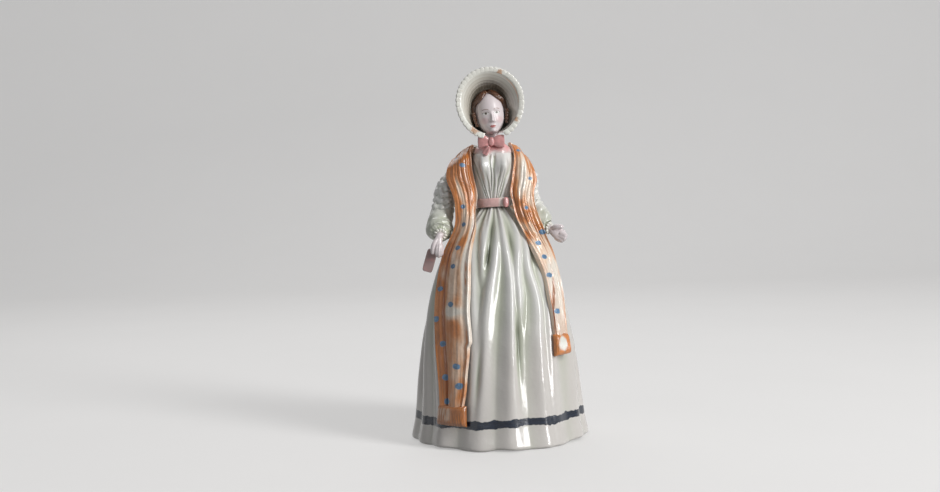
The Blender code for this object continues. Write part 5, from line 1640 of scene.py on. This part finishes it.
class LadyColours(PropertyGroup):
    """Glazes and enamels"""

    dress: colour_property("Dress", "Thin glaze on the ridges of the dress", (0.70, 0.69, 0.66))
    # Pooled glaze in the folds, and painted shade: darker still in deep pockets, and over the sleeves' lower
    # puffs.
    pool: colour_property("Pooled glaze", "Glaze that has gathered in the folds", (0.36, 0.40, 0.26))
    white: colour_property("White", "Glaze of the bonnet and the lace", (0.82, 0.81, 0.74))
    # Painted shade inside the brim and crown and in the grooves of the frill and lace, as well as thick
    # glaze.
    shade: colour_property("White in hollows", "Glaze of the bonnet where it lies thick", (0.37, 0.32, 0.25))
    flesh: colour_property("Flesh", "Face and hands", (0.77, 0.69, 0.695))
    lips: colour_property("Lips", "Painted mouth", (0.52, 0.11, 0.10))
    rose: colour_property("Rose", "Sash and bow", (0.62, 0.23, 0.23))
    cream: colour_property("Cream", "Bare ground of the shawl", (0.87, 0.69, 0.54))
    ochre: colour_property("Ochre", "Thin brush strokes of the shawl", (0.67, 0.33, 0.15))
    orange: colour_property("Orange", "Strong brush strokes of the shawl", (0.64, 0.22, 0.055))
    dots: colour_property("Dots", "Dots of the shawl", (0.11, 0.225, 0.37))
    band: colour_property("Hem band", "Painted band above the hem", (0.010, 0.015, 0.027))
    hair: colour_property("Hair", "Parted hair and curls", (0.115, 0.044, 0.018))
    book: colour_property("Book", "Small closed book", (0.42, 0.285, 0.275))
    bisque: colour_property("Bisque", "Unglazed foot", (0.72, 0.69, 0.63))


class LadySizes(PropertyGroup):
    """Sizes of the modelled and painted detail"""

    fold_depth: share_property("Fold depth", "Share of the full depth of the skirt's folds", 1.0, 1.3)
    pleat_depth: length_property("Pleat depth", "Depth of the bodice's pleats", 0.0008, 0.0015)
    ruche_rise: length_property("Ruche rise", "Height of the sleeves' ruches", 0.00062, 0.001)
    band_width: length_property("Band width", "Width of the painted band", 0.00374, 0.008)
    dot_radius: length_property("Dot radius", "Radius of the shawl's dots", 0.0019, 0.003)
    scallops: IntProperty(
        name="Scallops", description="Scallops round the bonnet's frill", default=40, min=8, max=80
    )
    streaks: share_property("Brush strokes", "Brush strokes across the shawl's width", 4.6, 30.0)


class LadyStage(PropertyGroup):
    """Camera, backdrop and light"""

    floor: colour_property("Backdrop", "Paper behind and below the figure", (0.74, 0.73, 0.72))
    lift: share_property("Paper lift", "Brightness that the camera sees on the paper and beyond it", 0.5, 1.0)
    lens: FloatProperty(
        name="Lens", description="Focal length", default=43.277, min=10, max=200, subtype="DISTANCE_CAMERA"
    )
    key: power_property("Key", "Window at her left", 21.8)
    fill: power_property("Fill", "Card at her right", 0.5)
    front: power_property("Front", "Card above the camera", 1.0)
    top: power_property("Top", "Card overhead", 3.2)
    ambient: share_property("Ambient", "Even light from all round", 0.16, 2.0)


OPERATORS = (
    LADY_OT_foot,
    LADY_OT_skirt,
    LADY_OT_bodice,
    LADY_OT_head,
    LADY_OT_bonnet,
    LADY_OT_bow,
    LADY_OT_sleeves,
    LADY_OT_hands,
    LADY_OT_shawl,
    LADY_OT_stage,
)
GROUPS = (("lady_colours", LadyColours), ("lady_sizes", LadySizes), ("lady_stage", LadyStage))


class LADY_PT_sidebar(Panel):
    """Sizes, colours and the operators that build the figure"""

    bl_idname = "LADY_PT_sidebar"
    bl_label = "Porcelain Lady"
    bl_space_type = "VIEW_3D"
    bl_region_type = "UI"
    bl_category = "Porcelain"

    def draw(self, context):
        for key, group in GROUPS:
            box = self.layout.box()
            for name in group.__annotations__:
                box.prop(getattr(context.scene, key), name)
        for operator in OPERATORS:
            self.layout.operator(operator.bl_idname)


def register():
    for key, group in GROUPS:
        bpy.utils.register_class(group)
        setattr(bpy.types.Scene, key, PointerProperty(type=group))
    for operator in (*OPERATORS, LADY_PT_sidebar):
        bpy.utils.register_class(operator)


def unregister():
    for operator in (LADY_PT_sidebar, *reversed(OPERATORS)):
        bpy.utils.unregister_class(operator)
    for key, group in reversed(GROUPS):
        delattr(bpy.types.Scene, key)
        bpy.utils.unregister_class(group)


def main():
    register()
    bpy.ops.lady.foot()
    bpy.ops.lady.skirt()
    bpy.ops.lady.bodice()
    bpy.ops.lady.head()
    bpy.ops.lady.bonnet()
    bpy.ops.lady.bow()
    bpy.ops.lady.sleeves()
    bpy.ops.lady.hands()
    bpy.ops.lady.shawl()
    bpy.ops.lady.stage()


if __name__ == "__main__":
    main()
